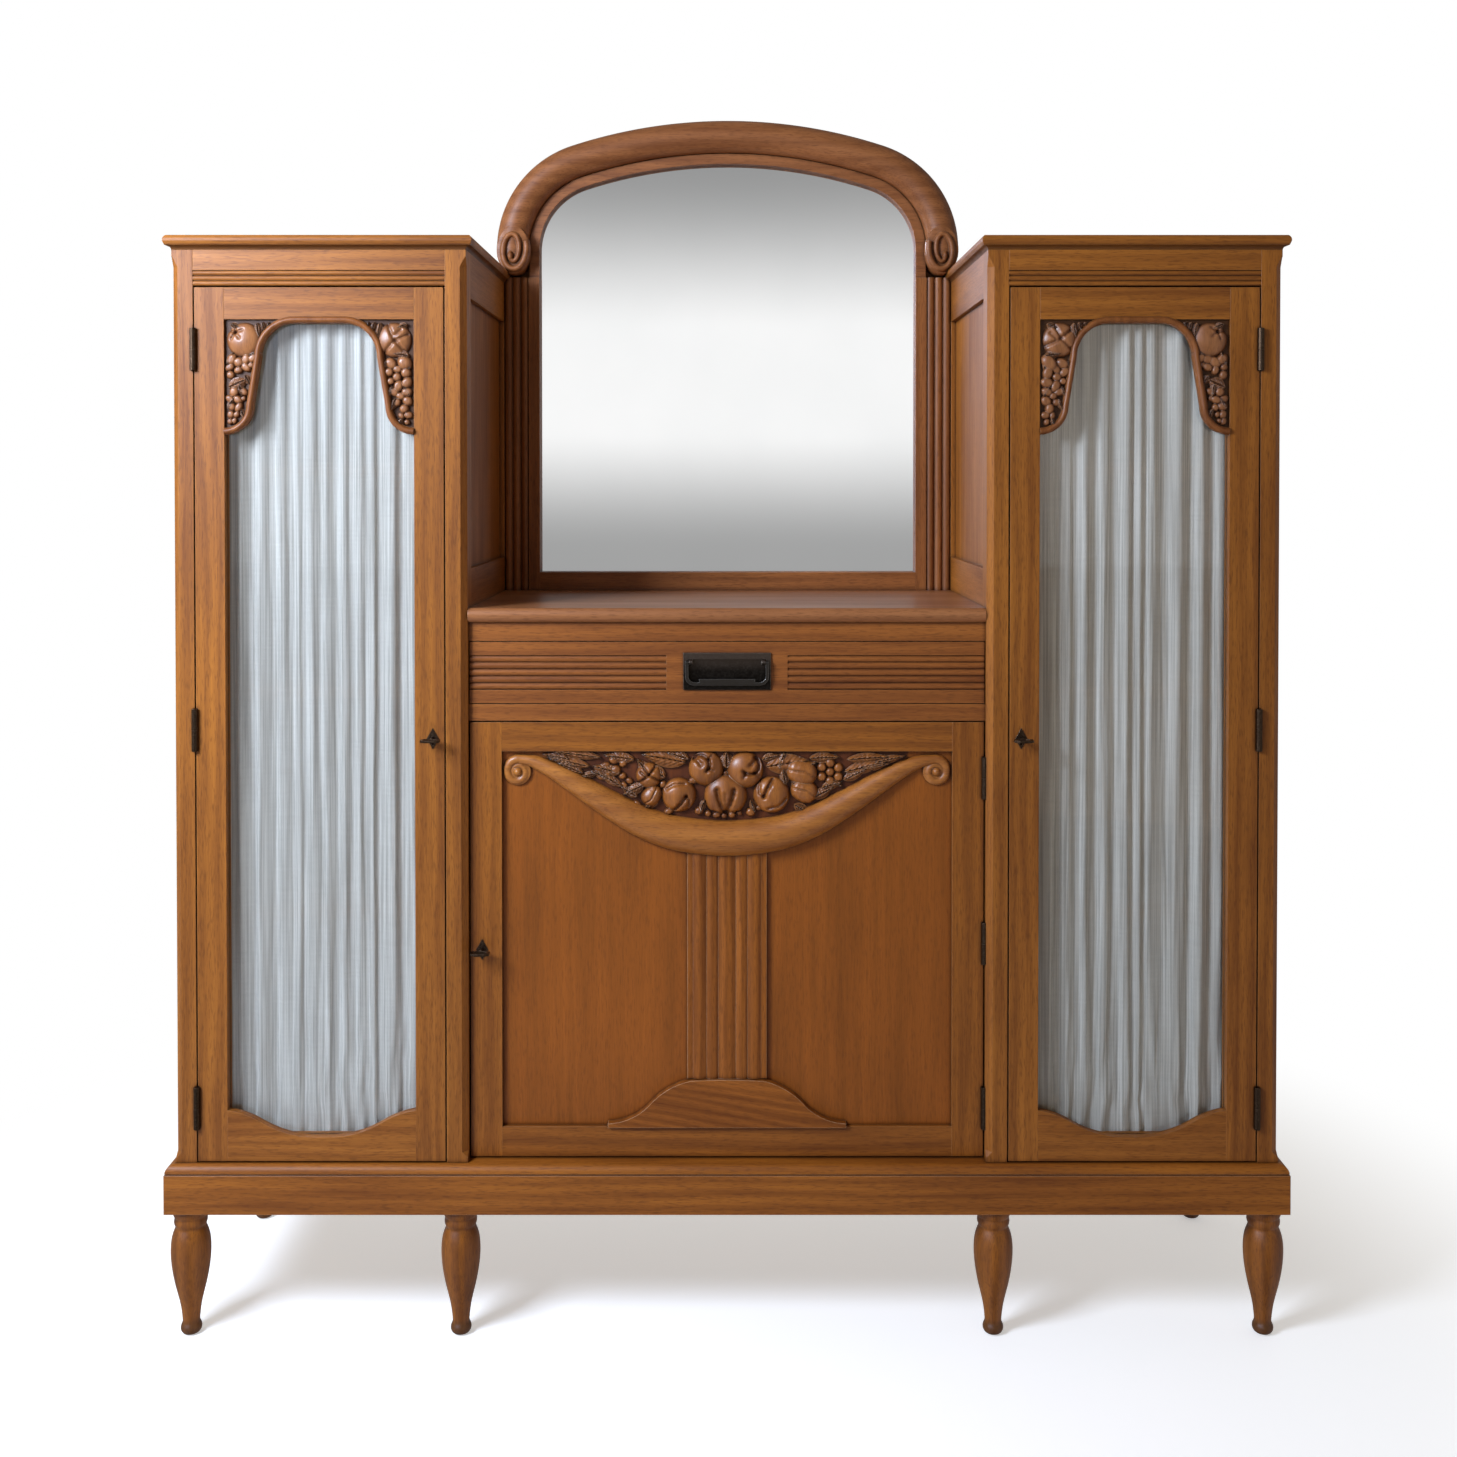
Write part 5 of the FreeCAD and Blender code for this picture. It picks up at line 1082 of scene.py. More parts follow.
@dataclass
class Carver:
    """Carves fruit, berries and leaves in relief, with their front towards -y."""

    balls: int = 4
    stock: dict[str, bpy.types.Object] = field(default_factory=dict)

    def groove(self, piece: bpy.types.Object, line: Sequence[Point], width: float, depth: float) -> None:
        """Presses a line into the front of a unit piece, in three narrowing passes.

        Args:
            piece: The unit piece.
            line: The groove's line as x and z.
            width: How wide it is.
            depth: How deep it goes.
        """
        for share, part in ((0.9, 0.3), (0.55, 0.5), (0.3, 0.4)):
            reach = width * share
            press(piece, lambda at: at.y < 0 and distance((at.x, at.z), line) < reach, (0, depth * part, 0))

    def ball(self, name: str) -> bpy.types.Object:
        """A unit ball with even faces.

        Args:
            name: The ball's name.

        Returns:
            The ball.
        """
        put_down()
        bpy.ops.mesh.primitive_ico_sphere_add(subdivisions=self.balls + 1, radius=1.0)
        return started(name)

    def fruit(self, kind: Fruit) -> bpy.types.Object:
        """A unit fruit of this kind, carved once and kept.

        Args:
            kind: The kind of fruit.

        Returns:
            The pattern that copies are made from.
        """
        if kind.name in self.stock:
            return self.stock[kind.name]
        piece = self.ball("fruit_" + kind.name.lower())
        if kind is Fruit.SPLIT:
            self.groove(piece, [(-0.38, 0.30), (-0.30, -0.10), (-0.05, -0.88)], 0.16, 0.34)
            self.groove(piece, [(0.40, 0.30), (0.30, -0.10), (0.05, -0.88)], 0.16, 0.34)
            self.groove(piece, [(0.0, 0.12), (0.0, -0.9)], 0.10, 0.16)
            press(piece, lambda at: at.z < -0.72 and at.y < 0, (0, 0.15, 0.06))
        elif kind is Fruit.SEAM:
            self.groove(piece, [(0.42, -0.02), (0.12, -0.45), (-0.22, -0.80)], 0.15, 0.34)
            self.groove(piece, [(0.42, -0.02), (0.62, -0.28), (0.55, -0.62)], 0.11, 0.20)
            self.groove(piece, [(-0.72, 0.35), (-0.30, 0.62), (0.35, 0.66)], 0.12, 0.20)
        elif kind is Fruit.CREST:
            self.groove(piece, arc((-0.28, 0.28), (0.48, 0.48), -50, 150, 9), 0.13, 0.34)
            self.groove(piece, [(-0.28, 0.28), (-0.62, 0.62)], 0.17, 0.30)
            self.groove(piece, [(0.14, 0.5), (0.34, 0.78)], 0.11, 0.22)
            self.groove(piece, [(0.10, 0.05), (0.42, -0.08)], 0.11, 0.22)
        elif kind is Fruit.STAR:
            centre = (-0.46, 0.42)
            for turn in (20, 92, 164, 236, 308):
                tip = arc(centre, (0.46, 0.46), turn, turn, 2)[0]
                self.groove(piece, [centre, tip], 0.10, 0.26)
            self.groove(piece, [centre, centre], 0.17, 0.22)
        elif kind is Fruit.CROSS:
            self.groove(piece, [(-0.85, -0.35), (-0.1, -0.02), (0.7, 0.62)], 0.13, 0.34)
            self.groove(piece, [(-0.30, 0.80), (0.05, 0.05), (0.72, -0.55)], 0.13, 0.30)
            self.groove(piece, [(-0.55, 0.40), (-0.25, 0.1)], 0.15, 0.26)
        else:
            press(piece, lambda at: at.z > 0.25, (0, 0, 0.22))
            press(piece, lambda at: at.z > 0.7, (0, 0, 0.20))
            self.groove(piece, [(-0.15, 1.3), (0.20, 0.0), (0.0, -0.85)], 0.10, 0.16)
        pick_up([piece])
        bpy.ops.object.mode_set(mode="EDIT")
        bpy.ops.mesh.select_all(action="SELECT")
        bpy.ops.mesh.vertices_smooth(factor=0.5, repeat=1)
        bpy.ops.object.mode_set(mode="OBJECT")
        self.stock[kind.name] = piece
        return piece

    def leaf(self) -> bpy.types.Object:
        """A unit leaf along +x from its stalk at the origin: ribbed, domed and pointed.

        Returns:
            The pattern that copies are made from.
        """
        if "leaf" in self.stock:
            return self.stock["leaf"]
        put_down()
        bpy.ops.mesh.primitive_grid_add(
            x_subdivisions=32, y_subdivisions=14, size=1.0, location=(0.5, 0, 0),
            rotation=(math.radians(90), 0, 0))
        piece = started("leaf")
        freeze(piece)
        for column in range(33):
            share = column / 32
            choose_points(piece, lambda at: abs(at.x - share) < 0.01)
            bpy.ops.transform.resize(value=(1, 1, leaf_width(share)), center_override=(share, 0, 0))
        for inner in (0.85, 0.7, 0.5, 0.3):
            press(piece, lambda at: abs(at.z) < leaf_width(at.x) * inner / 2, (0, -0.07, 0))
        press(piece, lambda at: abs(at.z) < 0.02, (0, 0.20, 0))
        for rib in range(1, 7):
            root = 0.125 * rib
            for way in (1, -1):
                line = [(root, 0), (root + 0.20, way * 0.34)]
                press(piece, lambda at: distance((at.x, at.z), line) < 0.024, (0, 0.11, 0))
        choose_points(piece, lambda at: True)
        bpy.ops.mesh.extrude_region_move(TRANSFORM_OT_translate={"value": (0, 0.6, 0)})
        bpy.ops.object.mode_set(mode="OBJECT")
        close_up(piece)
        self.stock["leaf"] = piece
        return piece

    def put_fruit(self, kind: Fruit, x: float, z: float, radius: float, ground: float, relief: float,
                  turn: float = 0.0) -> bpy.types.Object:
        """A fruit on the ground, turned about its middle, in millimetres and degrees.

        Args:
            kind: The kind of fruit.
            x: Its middle.
            z: Its middle's level.
            radius: Its radius.
            ground: The y of the ground.
            relief: How far it stands out.
            turn: Its turn.

        Returns:
            The fruit.
        """
        piece = copy_of(self.fruit(kind), "fruit")
        stand(piece, mm(x, ground, z), size=mm(radius, relief, radius), turn=(0, turn, 0))
        return piece

    def put_berry(self, x: float, z: float, radius: float, ground: float, long: float = 1.0,
                  turn: float = 0.0) -> bpy.types.Object:
        """A berry on the ground, round or drawn out along a turned line.

        Args:
            x: Its middle.
            z: Its middle's level.
            radius: Its radius.
            ground: The y of the ground.
            long: Its length as a share of its width.
            turn: The angle of its length.

        Returns:
            The berry.
        """
        if "berry" not in self.stock:
            put_down()
            bpy.ops.mesh.primitive_uv_sphere_add(
                segments=20, ring_count=12, radius=1.0, rotation=(math.radians(90), 0, 0))
            berry = started("berry")
            freeze(berry)
            press(berry, lambda at: at.y < -0.9, (0, 0.12, 0))
            self.stock["berry"] = berry
        piece = copy_of(self.stock["berry"], "berry_copy")
        stand(piece, mm(x, ground - 1.0, z), size=mm(radius * long, radius * 0.8 + 2.0, radius),
              turn=(0, -turn, 0))
        return piece

    def put_leaf(self, x: float, z: float, length: float, width: float, turn: float,
                 ground: float) -> bpy.types.Object:
        """A leaf from its stalk's place, pointing at an angle in degrees from x towards z.

        Args:
            x: Its stalk's place.
            z: Its stalk's level.
            length: Its length.
            width: Its width.
            turn: Its angle.
            ground: The y of the ground.

        Returns:
            The leaf.
        """
        piece = copy_of(self.leaf(), "leaf_copy")
        stand(piece, mm(x, ground - 4.0, z), size=mm(length, 13.0, width), turn=(0, -turn, 0))
        return piece

    def clear(self) -> None:
        """Puts the patterns away."""
        pick_up(list(self.stock.values()))
        bpy.ops.object.delete()
        self.stock.clear()


def distance(at: Point, line: Sequence[Point]) -> float:
    """How far a point is from a broken line.

    Args:
        at: The point.
        line: The line's points.

    Returns:
        The distance to its nearest part.
    """
    best = 9.0
    for (x1, z1), (x2, z2) in zip(line[:-1], line[1:]):
        run, rise = x2 - x1, z2 - z1
        length = run * run + rise * rise
        share = 0.0 if not length else max(0.0, min(1.0, ((at[0] - x1) * run + (at[1] - z1) * rise) / length))
        best = min(best, math.hypot(at[0] - x1 - run * share, at[1] - z1 - rise * share))
    return best


def leaf_width(share: float) -> float:
    """A leaf's width at a share of its length, of a unit leaf."""
    return max(0.02, math.sin(math.pi * min(max(share, 0), 1) ** 0.8) * 0.98)


@dataclass
class FruitSwag:
    """The centre door's carving: fruit and leaves over a swag with scrolled ends."""

    ground: float = -161.0
    carving_back: float = -158.0
    top: float = 838.0
    relief: float = 17.0
    volute_x: float = 300.5
    volute_z: float = 808.0
    volute_radius: float = 17.0
    volute_start: float = 100.0
    volute_turns: float = 1.45
    volute_steps: int = 70
    volute_closing: float = 0.70
    volute_stretch: float = 1.05
    band_width: float = 14.5
    band_taper: float = 5.5
    swag_rise: float = 25.0
    fruits: Sequence[tuple[Fruit, float, float, float, float]] = (
        (Fruit.SPLIT, -2, 774, 31, 0),
        (Fruit.SEAM, -69, 775, 25, 0),
        (Fruit.SEAM, 64, 775, 26.5, 168),
        (Fruit.CREST, -30, 813, 25.5, 0),
        (Fruit.CREST, 26, 811, 26.5, 90),
        (Fruit.PEAR, -110, 772, 14, 40),
        (Fruit.CROSS, -112, 803, 19, -12),
        (Fruit.PEAR, 114, 779, 17, -65),
        (Fruit.PEAR, 111, 806, 19, -70),
    )
    berries: Sequence[tuple[float, float, float, float, float]] = (
        (-159, 811, 7, 1, 0), (-171, 806, 5, 1, 0), (-149, 820, 5, 1.3, 40), (-150, 802, 5, 1.2, 10),
        (-163, 824, 5, 1.4, -20), (-174, 818, 4.5, 1.5, 10), (-140, 795, 4.5, 1.3, -30),
        (-147, 789, 4, 1.5, -40), (-181, 800, 4, 1.4, -20), (-185, 812, 4, 1.6, -15),
        (-40, 752, 6, 1.2, 20), (-27, 748, 5, 1, 0), (-15, 746, 5, 1.2, 10), (-4, 745, 4.5, 1, 0),
        (7, 746, 5, 1.1, 0), (18, 749, 4, 1, 0), (34, 750, 6.5, 1.1, -20), (45, 756, 4, 1, 0),
        (148, 808, 6.5, 1, 0), (148, 821, 7, 1, 0), (160, 814, 7, 1, 0), (160, 801, 7, 1, 0),
        (148, 795, 7, 1, 0), (136, 801, 7, 1, 0), (136, 815, 7, 1, 0), (52, 793, 5, 1, 0),
        (-92, 790, 5, 1.2, 60), (-84, 751, 5, 1.5, 20), (-49, 795, 5, 1.2, 0), (-2, 806, 4, 1, 0),
        (126, 757, 4, 1.8, 30), (-128, 762, 4, 1.8, -30),
    )
    leaves: Sequence[tuple[float, float, float, float, float]] = (
        (-58, 822, 66, 26, 170), (-88, 800, 34, 20, 150), (-196, 816, 64, 15, 168),
        (-205, 806, 42, 12, 158), (-180, 829, 74, 13, 173), (-150, 787, 42, 13, 150),
        (-166, 797, 34, 12, 156), (-132, 826, 46, 16, 172), (-118, 790, 34, 16, 205),
        (-128, 772, 30, 13, 148), (-226, 827, 40, 10, 170), (-186, 806, 28, 10, 190),
        (56, 816, 62, 30, 8), (92, 794, 40, 20, -28), (168, 808, 66, 19, 14),
        (172, 826, 62, 16, 4), (166, 796, 40, 15, 26), (212, 822, 46, 12, 12),
        (118, 828, 44, 16, 2), (122, 770, 36, 16, 28), (136, 786, 30, 14, 14),
        (-54, 827, 34, 14, 164), (0, 813, 25, 22, 92), (50, 826, 26, 13, 14),
        (-98, 770, 26, 14, 215), (96, 762, 28, 15, -32), (84, 790, 22, 14, 100),
        (-152, 806, 42, 16, 165), (-110, 804, 30, 15, 130), (-70, 784, 24, 12, 200),
        (74, 812, 26, 13, 70), (102, 810, 30, 14, 25), (142, 796, 26, 12, -20),
        (-32, 768, 20, 10, 250), (34, 768, 20, 10, -70), (-214, 817, 44, 11, 166), (192, 813, 44, 13, 10),
    )
    swag_line: Sequence[tuple[float, float, float]] = (
        (0, 712, 52), (36, 714, 51.5), (71, 719, 50), (95, 725.5, 48.5), (117, 734, 46.5),
        (140, 745, 44), (161, 757, 41), (184, 770.5, 37.5), (206, 784.5, 34), (228, 798, 30),
        (248, 809.5, 26), (266, 818, 21.5), (282, 823.5, 17.5),
    )

    def swag(self) -> bpy.types.Object:
        """The swag: one half-round swelling to its middle, with a volute at each end.

        Returns:
            The swag with its volutes.
        """
        right = [(x, z, width) for x, z, width in self.swag_line]
        for step in range(self.volute_steps):
            share = step / (self.volute_steps - 1)
            angle = math.radians(self.volute_start - 360 * self.volute_turns * share)
            radius = self.volute_radius * (1 - self.volute_closing * share)
            right.append((self.volute_x + radius * math.cos(angle),
                          self.volute_z + radius * self.volute_stretch * math.sin(angle),
                          self.band_width - self.band_taper * share))
        left = [(-x, z, width) for x, z, width in reversed(right[1:])]
        points = smoothed(left + right, 3)
        widest = max(width for _, _, width in points)
        piece = sweep(
            "swag", [(x, z) for x, z, _ in points], half_round(widest, self.swag_rise, 2.0, 22), self.ground,
            [width / widest for _, _, width in points])
        eyes = []
        for way in (1, -1):
            put_down()
            bpy.ops.mesh.primitive_uv_sphere_add(segments=20, ring_count=12, radius=1.0)
            eye = started("volute_eye")
            stand(eye, mm(way * self.volute_x, self.ground, self.volute_z), size=mm(7, 10, 7))
            eyes.append(eye)
            put_down()
            bpy.ops.mesh.primitive_cylinder_add(
                vertices=40, radius=19 * MM, depth=5 * MM, rotation=(math.radians(90), 0, 0),
                location=mm(way * self.volute_x, self.ground - 1.5, self.volute_z))
            disc = started("volute_ground")
            freeze(disc)
            finish_with(disc, "BEVEL", width=1.0 * MM, segments=2, limit_method="ANGLE")
            eyes.append(disc)
        return joined([piece, *eyes], "swag")

    def field(self) -> bpy.types.Object:
        """A thin dark sheet of painted shade over the sunk ground behind the fruit, from the swag up to the
        panel's top.

        Returns:
            The sheet, as a thin board.
        """
        upper = [(0, 725), (80, 735), (124, 748), (168, 768), (212, 794), (248, 815), (262, 838)]
        outline = [(-x, z) for x, z in reversed(upper[1:])] + list(upper)
        put_down()
        bpy.ops.curve.primitive_bezier_circle_add()
        piece = started("painted_shade_ground")
        line_of(piece, outline, "POLY", True)
        piece.data.dimensions = "2D"
        piece.data.fill_mode = "BOTH"
        piece.data.extrude = 0.6 * MM
        piece.rotation_euler = (math.radians(90), 0, 0)
        piece.location = (0, (self.ground - 0.8) * MM, 0)
        pick_up([piece])
        bpy.ops.object.convert(target="MESH")
        piece = started("painted_shade_ground")
        freeze(piece)
        close_up(piece)
        return piece

    def build(self, bench: Bench, carver: Carver) -> None:
        """The swag, its ground and the fruit over it.

        Args:
            bench: Where pieces are dressed.
            carver: Who carves the fruit.
        """
        swag = self.swag()
        smooth(swag, 50)
        bench.hand_over(swag, SWAG_OAK, "centre_door", ["centre_door_carving"])
        # The dark sheet behind the fruit stands for painted shade.
        bench.hand_over(self.field(), SHADE_GROUND_OAK, "centre_door")
        ground = self.ground - 1.0
        parts = [carver.put_leaf(
            x, z, length, width, turn, ground) for x, z, length, width, turn in self.leaves]
        for kind, x, z, radius, turn in self.fruits:
            relief = self.relief * (0.55 + radius / 60)
            parts.append(carver.put_fruit(kind, x, z, radius, ground, relief, turn))
        parts += [carver.put_berry(
            x, z, radius, ground, long, turn) for x, z, radius, long, turn in self.berries]
        fruit = joined(parts, "fruit_and_leaves")
        hold_within(fruit, self.carving_back, self.top - 0.5)
        smooth(fruit, 60)
        bench.hand_over(fruit, FRUIT_OAK, "centre_door")


def smoothed(points: Sequence[tuple[float, ...]], cuts: int) -> list[tuple[float, ...]]:
    """A line through these points with more points on its curve, each coordinate by its own.

    Args:
        points: The points.
        cuts: How many parts each stretch gets.

    Returns:
        The points of the curve.
    """
    out = []
    for index in range(len(points) - 1):
        before = points[max(index - 1, 0)]
        start, end = points[index], points[index + 1]
        after = points[min(index + 2, len(points) - 1)]
        for cut in range(cuts):
            t = cut / cuts
            out.append(tuple(
                0.5 * (2 * b + (c - a) * t + (2 * a - 5 * b + 4 * c - d) * t * t
                       + (3 * b - a - 3 * c + d) * t ** 3)
                for a, b, c, d in zip(before, start, end, after)))
    out.append(tuple(points[-1]))
    return out


@dataclass
class DoorHead:
    """A tower door's arched head: a rounded bead round the bell and fruit in both spandrels."""

    side: Side
    centre: float = 578.5
    half: float = 134.5
    foot: float = 1292.0
    crown: float = 1450.0
    shoulder: float = 83.0
    shoulder_radius: float = 48.0
    foot_radius: float = 40.0
    bead: float = 9.0
    face: float = -185.0
    ground: float = -180.0
    fruit_inset: float = 28.0
    fruit_z: float = 1425.5
    fruit_radius: float = 25.0
    fruit_relief: float = 11.0
    berry_growth: float = 1.12
    carving_back: float = -176.0
    carving_top: float = 1453.0

    def bell(self, grow: float) -> list[Point]:
        """The bell's outline from the left stile over the crown to the right one.

        Args:
            grow: How far the line stands outside the glass, in millimetres.

        Returns:
            The line's points as x and z.
        """
        middle = self.side.value * self.centre
        foot = self.foot_radius - grow
        round_top = self.shoulder_radius + grow
        flat = self.shoulder - self.shoulder_radius
        low = self.foot + self.foot_radius
        high = self.crown - self.shoulder_radius
        left = arc((-self.half, low), (foot, foot), -90, 0, 12)
        left += arc((-flat, high), (round_top, round_top), 180, 90, 16)
        right = [(-x, z) for x, z in reversed(left)]
        return [(middle + x, z) for x, z in left + right]

    def beads(self) -> bpy.types.Object:
        """The rounded bead along the bell."""
        return sweep(self.side.word + "_bell_bead", self.bell(self.bead / 2 - 0.5),
                     half_round(self.bead + 1.0, 7.0, 2.0), self.face + 2.5)

    def carving(self, carver: Carver) -> bpy.types.Object:
        """The fruit, berries and leaves of both spandrels.

        Args:
            carver: Who carves the fruit.

        Returns:
            The carving as one piece.
        """
        parts = []
        middle = self.side.value * self.centre
        for way in (-1, 1):
            first = way == self.side.value
            edge = middle + way * self.half
            kind = Fruit.STAR if first else Fruit.CROSS
            parts.append(carver.put_fruit(
                kind, edge - way * self.fruit_inset, self.fruit_z, self.fruit_radius,
                self.ground, self.fruit_relief, 0 if way == -1 else 90))
            rng = random.Random(11 + way + 5 * self.side.value)
            for inset, z, radius in self.berries(first):
                parts.append(carver.put_berry(
                    edge - way * inset, z, radius * self.berry_growth, self.ground, rng.uniform(1.0, 1.45),
                    rng.uniform(-50, 80)))
            for inset, z, length, width, turn in self.leaves(first):
                angle = turn if way == -1 else 180 - turn
                parts.append(carver.put_leaf(edge - way * inset, z, length, width, angle, self.ground))
        return joined(parts, self.side.word + "_spandrel_fruit")

    def berries(self, first: bool) -> Sequence[tuple[float, float, float]]:
        """The berries' insets from the stile, levels and radii.

        Args:
            first: Whether it is the spandrel with the star fruit.

        Returns:
            Each berry's inset, level and radius.
        """
        if first:
            return (
                (41, 1400, 6), (31, 1398, 6), (11, 1398, 6.5), (21, 1394, 7), (8, 1387, 5), (31, 1387, 5.5),
                (38, 1390, 4), (20, 1383, 5), (9, 1376, 5.5), (14, 1352, 6.5), (27, 1352, 5),
                (8, 1342, 5), (19, 1341, 5.5), (27, 1343, 3.5), (10, 1331, 5.5), (20, 1330, 5),
                (9, 1320, 5), (17, 1320, 4), (8, 1310, 4), (14, 1311, 3.5),
            )
        return (
            (13, 1393, 9), (32, 1392, 7), (23, 1384, 5.5), (35, 1380, 6), (11, 1379, 7), (24, 1373, 6),
            (10, 1365, 7), (33, 1367, 5), (22, 1360, 6.5), (10, 1352, 6), (28, 1352, 5.5), (19, 1346, 5),
            (9, 1339, 6.5), (24, 1337, 5), (14, 1328, 6), (8, 1319, 5), (18, 1318, 4), (10, 1309, 4),
        )

    def leaves(self, first: bool) -> Sequence[tuple[float, float, float, float, float]]:
        """The leaves' insets, levels, lengths, widths and angles, as on the left spandrel.

        Args:
            first: Whether it is the spandrel with the star fruit.

        Returns:
            Each leaf's inset, level, length, width and angle.
        """
        ends = (
            (47, 1450, 23, 11, -80), (55, 1451, 15, 9, -75), (63, 1451, 9, 6, -70), (9, 1448, 16, 10, -20),
        )
        if first:
            return (
                *ends, (6, 1358, 30, 19, 24), (30, 1376, 18, 11, -60), (36, 1404, 18, 10, 10),
                (24, 1328, 18, 9, -65), (5, 1328, 18, 9, 60), (5, 1390, 20, 10, 65), (22, 1364, 20, 10, -80),
            )
        return (
            *ends, (6, 1403, 24, 13, 8), (30, 1360, 18, 10, -70), (38, 1396, 18, 10, -60),
            (5, 1346, 18, 9, 55), (26, 1342, 18, 9, -70), (5, 1384, 20, 10, 65), (16, 1314, 16, 8, -60),
        )

    def build(self, bench: Bench, carver: Carver) -> None:
        """The bead and the carving, on the door.

        Args:
            bench: Where pieces are dressed.
            carver: Who carves the fruit.
        """
        body = self.side.word + "_door"
        bead = self.beads()
        smooth(bead, 50)
        bench.hand_over(bead, BEAD_OAK, body)
        fruit = self.carving(carver)
        hold_within(fruit, self.carving_back, self.carving_top)
        smooth(fruit, 60)
        bench.hand_over(fruit, SPANDREL_OAK, body, [self.side.word + "_door_carving"])


@dataclass
class GatheredCurtain:
    """A sheer curtain gathered on two rods behind a tower door's glass."""

    side: Side
    cloth: SheerCloth
    seed: int
    centre: float = 578.5
    half: float = 142.0
    low: float = 275.5
    high: float = 1463.0
    plane: float = -157.8
    front: float = -166.0
    back: float = -150.0
    fold_width: Place = (12.0, 48.0, 22.0)
    fold_slope: float = 0.27
    fold_play: Point = (0.8, 1.3)
    fold_change: Sequence[float] = (1.0, 1.0, 0.8, 0.45, 0.15)
    fold_reach: float = 6.6
    sway: float = 1.3
    columns: int = 240
    rows: int = 64
    frames: int = 15
    rod_grip: float = 4.0
    sink: float = 4.0
    rise: float = 2.0

    def folds(self, rng: random.Random) -> list[tuple[float, float, float]]:
        """The gathers across the rod: each turn's x and its y at the top and at the foot.

        Args:
            rng: The draws.

        Returns:
            Each turn's x, top y and foot y in millimetres.
        """
        line = [(-self.half, 0.0, 0.0)]
        x, way = -self.half, 1
        while x < self.half:
            width = rng.triangular(*self.fold_width) / 2
            x = min(x + width, self.half)
            deep = min(width * self.fold_slope * rng.uniform(*self.fold_play), self.fold_reach)
            change = rng.choice(self.fold_change)
            shares = (deep, deep * change) if rng.random() < 0.5 else (deep * change, deep)
            line.append((x, way * shares[0], way * shares[1]))
            way = -way
        return [tuple(point) for point in smoothed(line, 8)]

    def spaced(self, line: Sequence[Point]) -> tuple[list[Point], float]:
        """The line cut into equal lengths of cloth, and its whole length.

        Args:
            line: The gathered line seen from above.

        Returns:
            The points, and the length in millimetres.
        """
        lengths = [0.0]
        for (x1, y1), (x2, y2) in zip(line[:-1], line[1:]):
            lengths.append(lengths[-1] + math.hypot(x2 - x1, y2 - y1))
        whole = lengths[-1]
        out, index = [], 0
        for column in range(self.columns + 1):
            target = whole * column / self.columns
            while index < len(lengths) - 2 and lengths[index + 1] < target:
                index += 1
            share = (target - lengths[index]) / max(lengths[index + 1] - lengths[index], 1e-9)
            (x1, y1), (x2, y2) = line[index], line[index + 1]
            out.append((x1 + (x2 - x1) * share, y1 + (y2 - y1) * share))
        return out, whole

    def build(self, bench: Bench) -> None:
        """Gathers the flat sheet, lets it hang and sets it on its door.

        Args:
            bench: Where pieces are dressed.
        """
        rng = random.Random(self.seed)
        gathers = self.folds(rng)
        name = self.side.word + "_sheer_curtain"
        put_down()
        bpy.ops.mesh.primitive_grid_add(
            x_subdivisions=self.columns, y_subdivisions=self.rows, size=1.0,
            rotation=(math.radians(90), 0, 0))
        piece = started(name)
        freeze(piece)
        middle = self.side.value * self.centre
        sways = [(rng.uniform(-1, 1), rng.uniform(0.6, 1.6), rng.uniform(0, 6.3)) for _ in range(4)]
        rows, lengths = [], []
        for row in range(self.rows + 1):
            up = row / self.rows
            share = up * up * (3 - 2 * up)
            line, whole = self.spaced([(x, foot + (top - foot) * share) for x, top, foot in gathers])
            rows.append(line)
            lengths.append(whole)
        for point in piece.data.vertices:
            column = round((point.co.x + 0.5) * self.columns)
            up = point.co.z + 0.5
            x, y = rows[round(up * self.rows)][column]
            edge = 1 - abs(x / self.half) ** 3
            drift = sum(
                size * math.sin(math.pi * pace * up + start + x / 40) for size, pace, start in sways)
            swell = math.sin(math.pi * up)
            point.co = mm(
                middle + x + edge * drift * self.sway * swell, self.plane + y,
                self.low + up * (self.high - self.low))
        whole = sum(lengths) / len(lengths)
        self.hang(piece)
        smooth(piece, 180)
        bench.hand_over(
            piece, self.cloth, self.side.word + "_door", [self.side.word + "_curtain"])

    def hang(self, piece: bpy.types.Object) -> None:
        """Lets the cloth settle between its rods under its own weight.

        Args:
            piece: The gathered sheet.
        """
        pinned = piece.vertex_groups.new(name="on_the_rods")
        low, high = (self.low + self.rod_grip) * MM, (self.high - self.rod_grip) * MM
        held = [point.index for point in piece.data.vertices if not low < point.co.z < high]
        pinned.add(held, 1.0, "REPLACE")
        before = [point.co.copy() for point in piece.data.vertices]
        pick_up([piece])
        settle = piece.modifiers.new("Cloth", "CLOTH")
        settle.settings.quality = 5
        settle.settings.mass = 0.05
        settle.settings.tension_stiffness = 12
        settle.settings.bending_stiffness = 0.8
        settle.settings.vertex_group_mass = pinned.name
        settle.collision_settings.use_collision = False
        for frame_number in range(1, self.frames + 1):
            bpy.context.scene.frame_set(frame_number)
        bpy.ops.object.modifier_apply(modifier=settle.name)
        bpy.context.scene.frame_set(1)
        for point, start in zip(piece.data.vertices, before):
            point.co.y = min(max(point.co.y, self.front * MM), self.back * MM)
            point.co.z = max(min(point.co.z, start.z + self.rise * MM), start.z - self.sink * MM)
        piece.vertex_groups.clear()


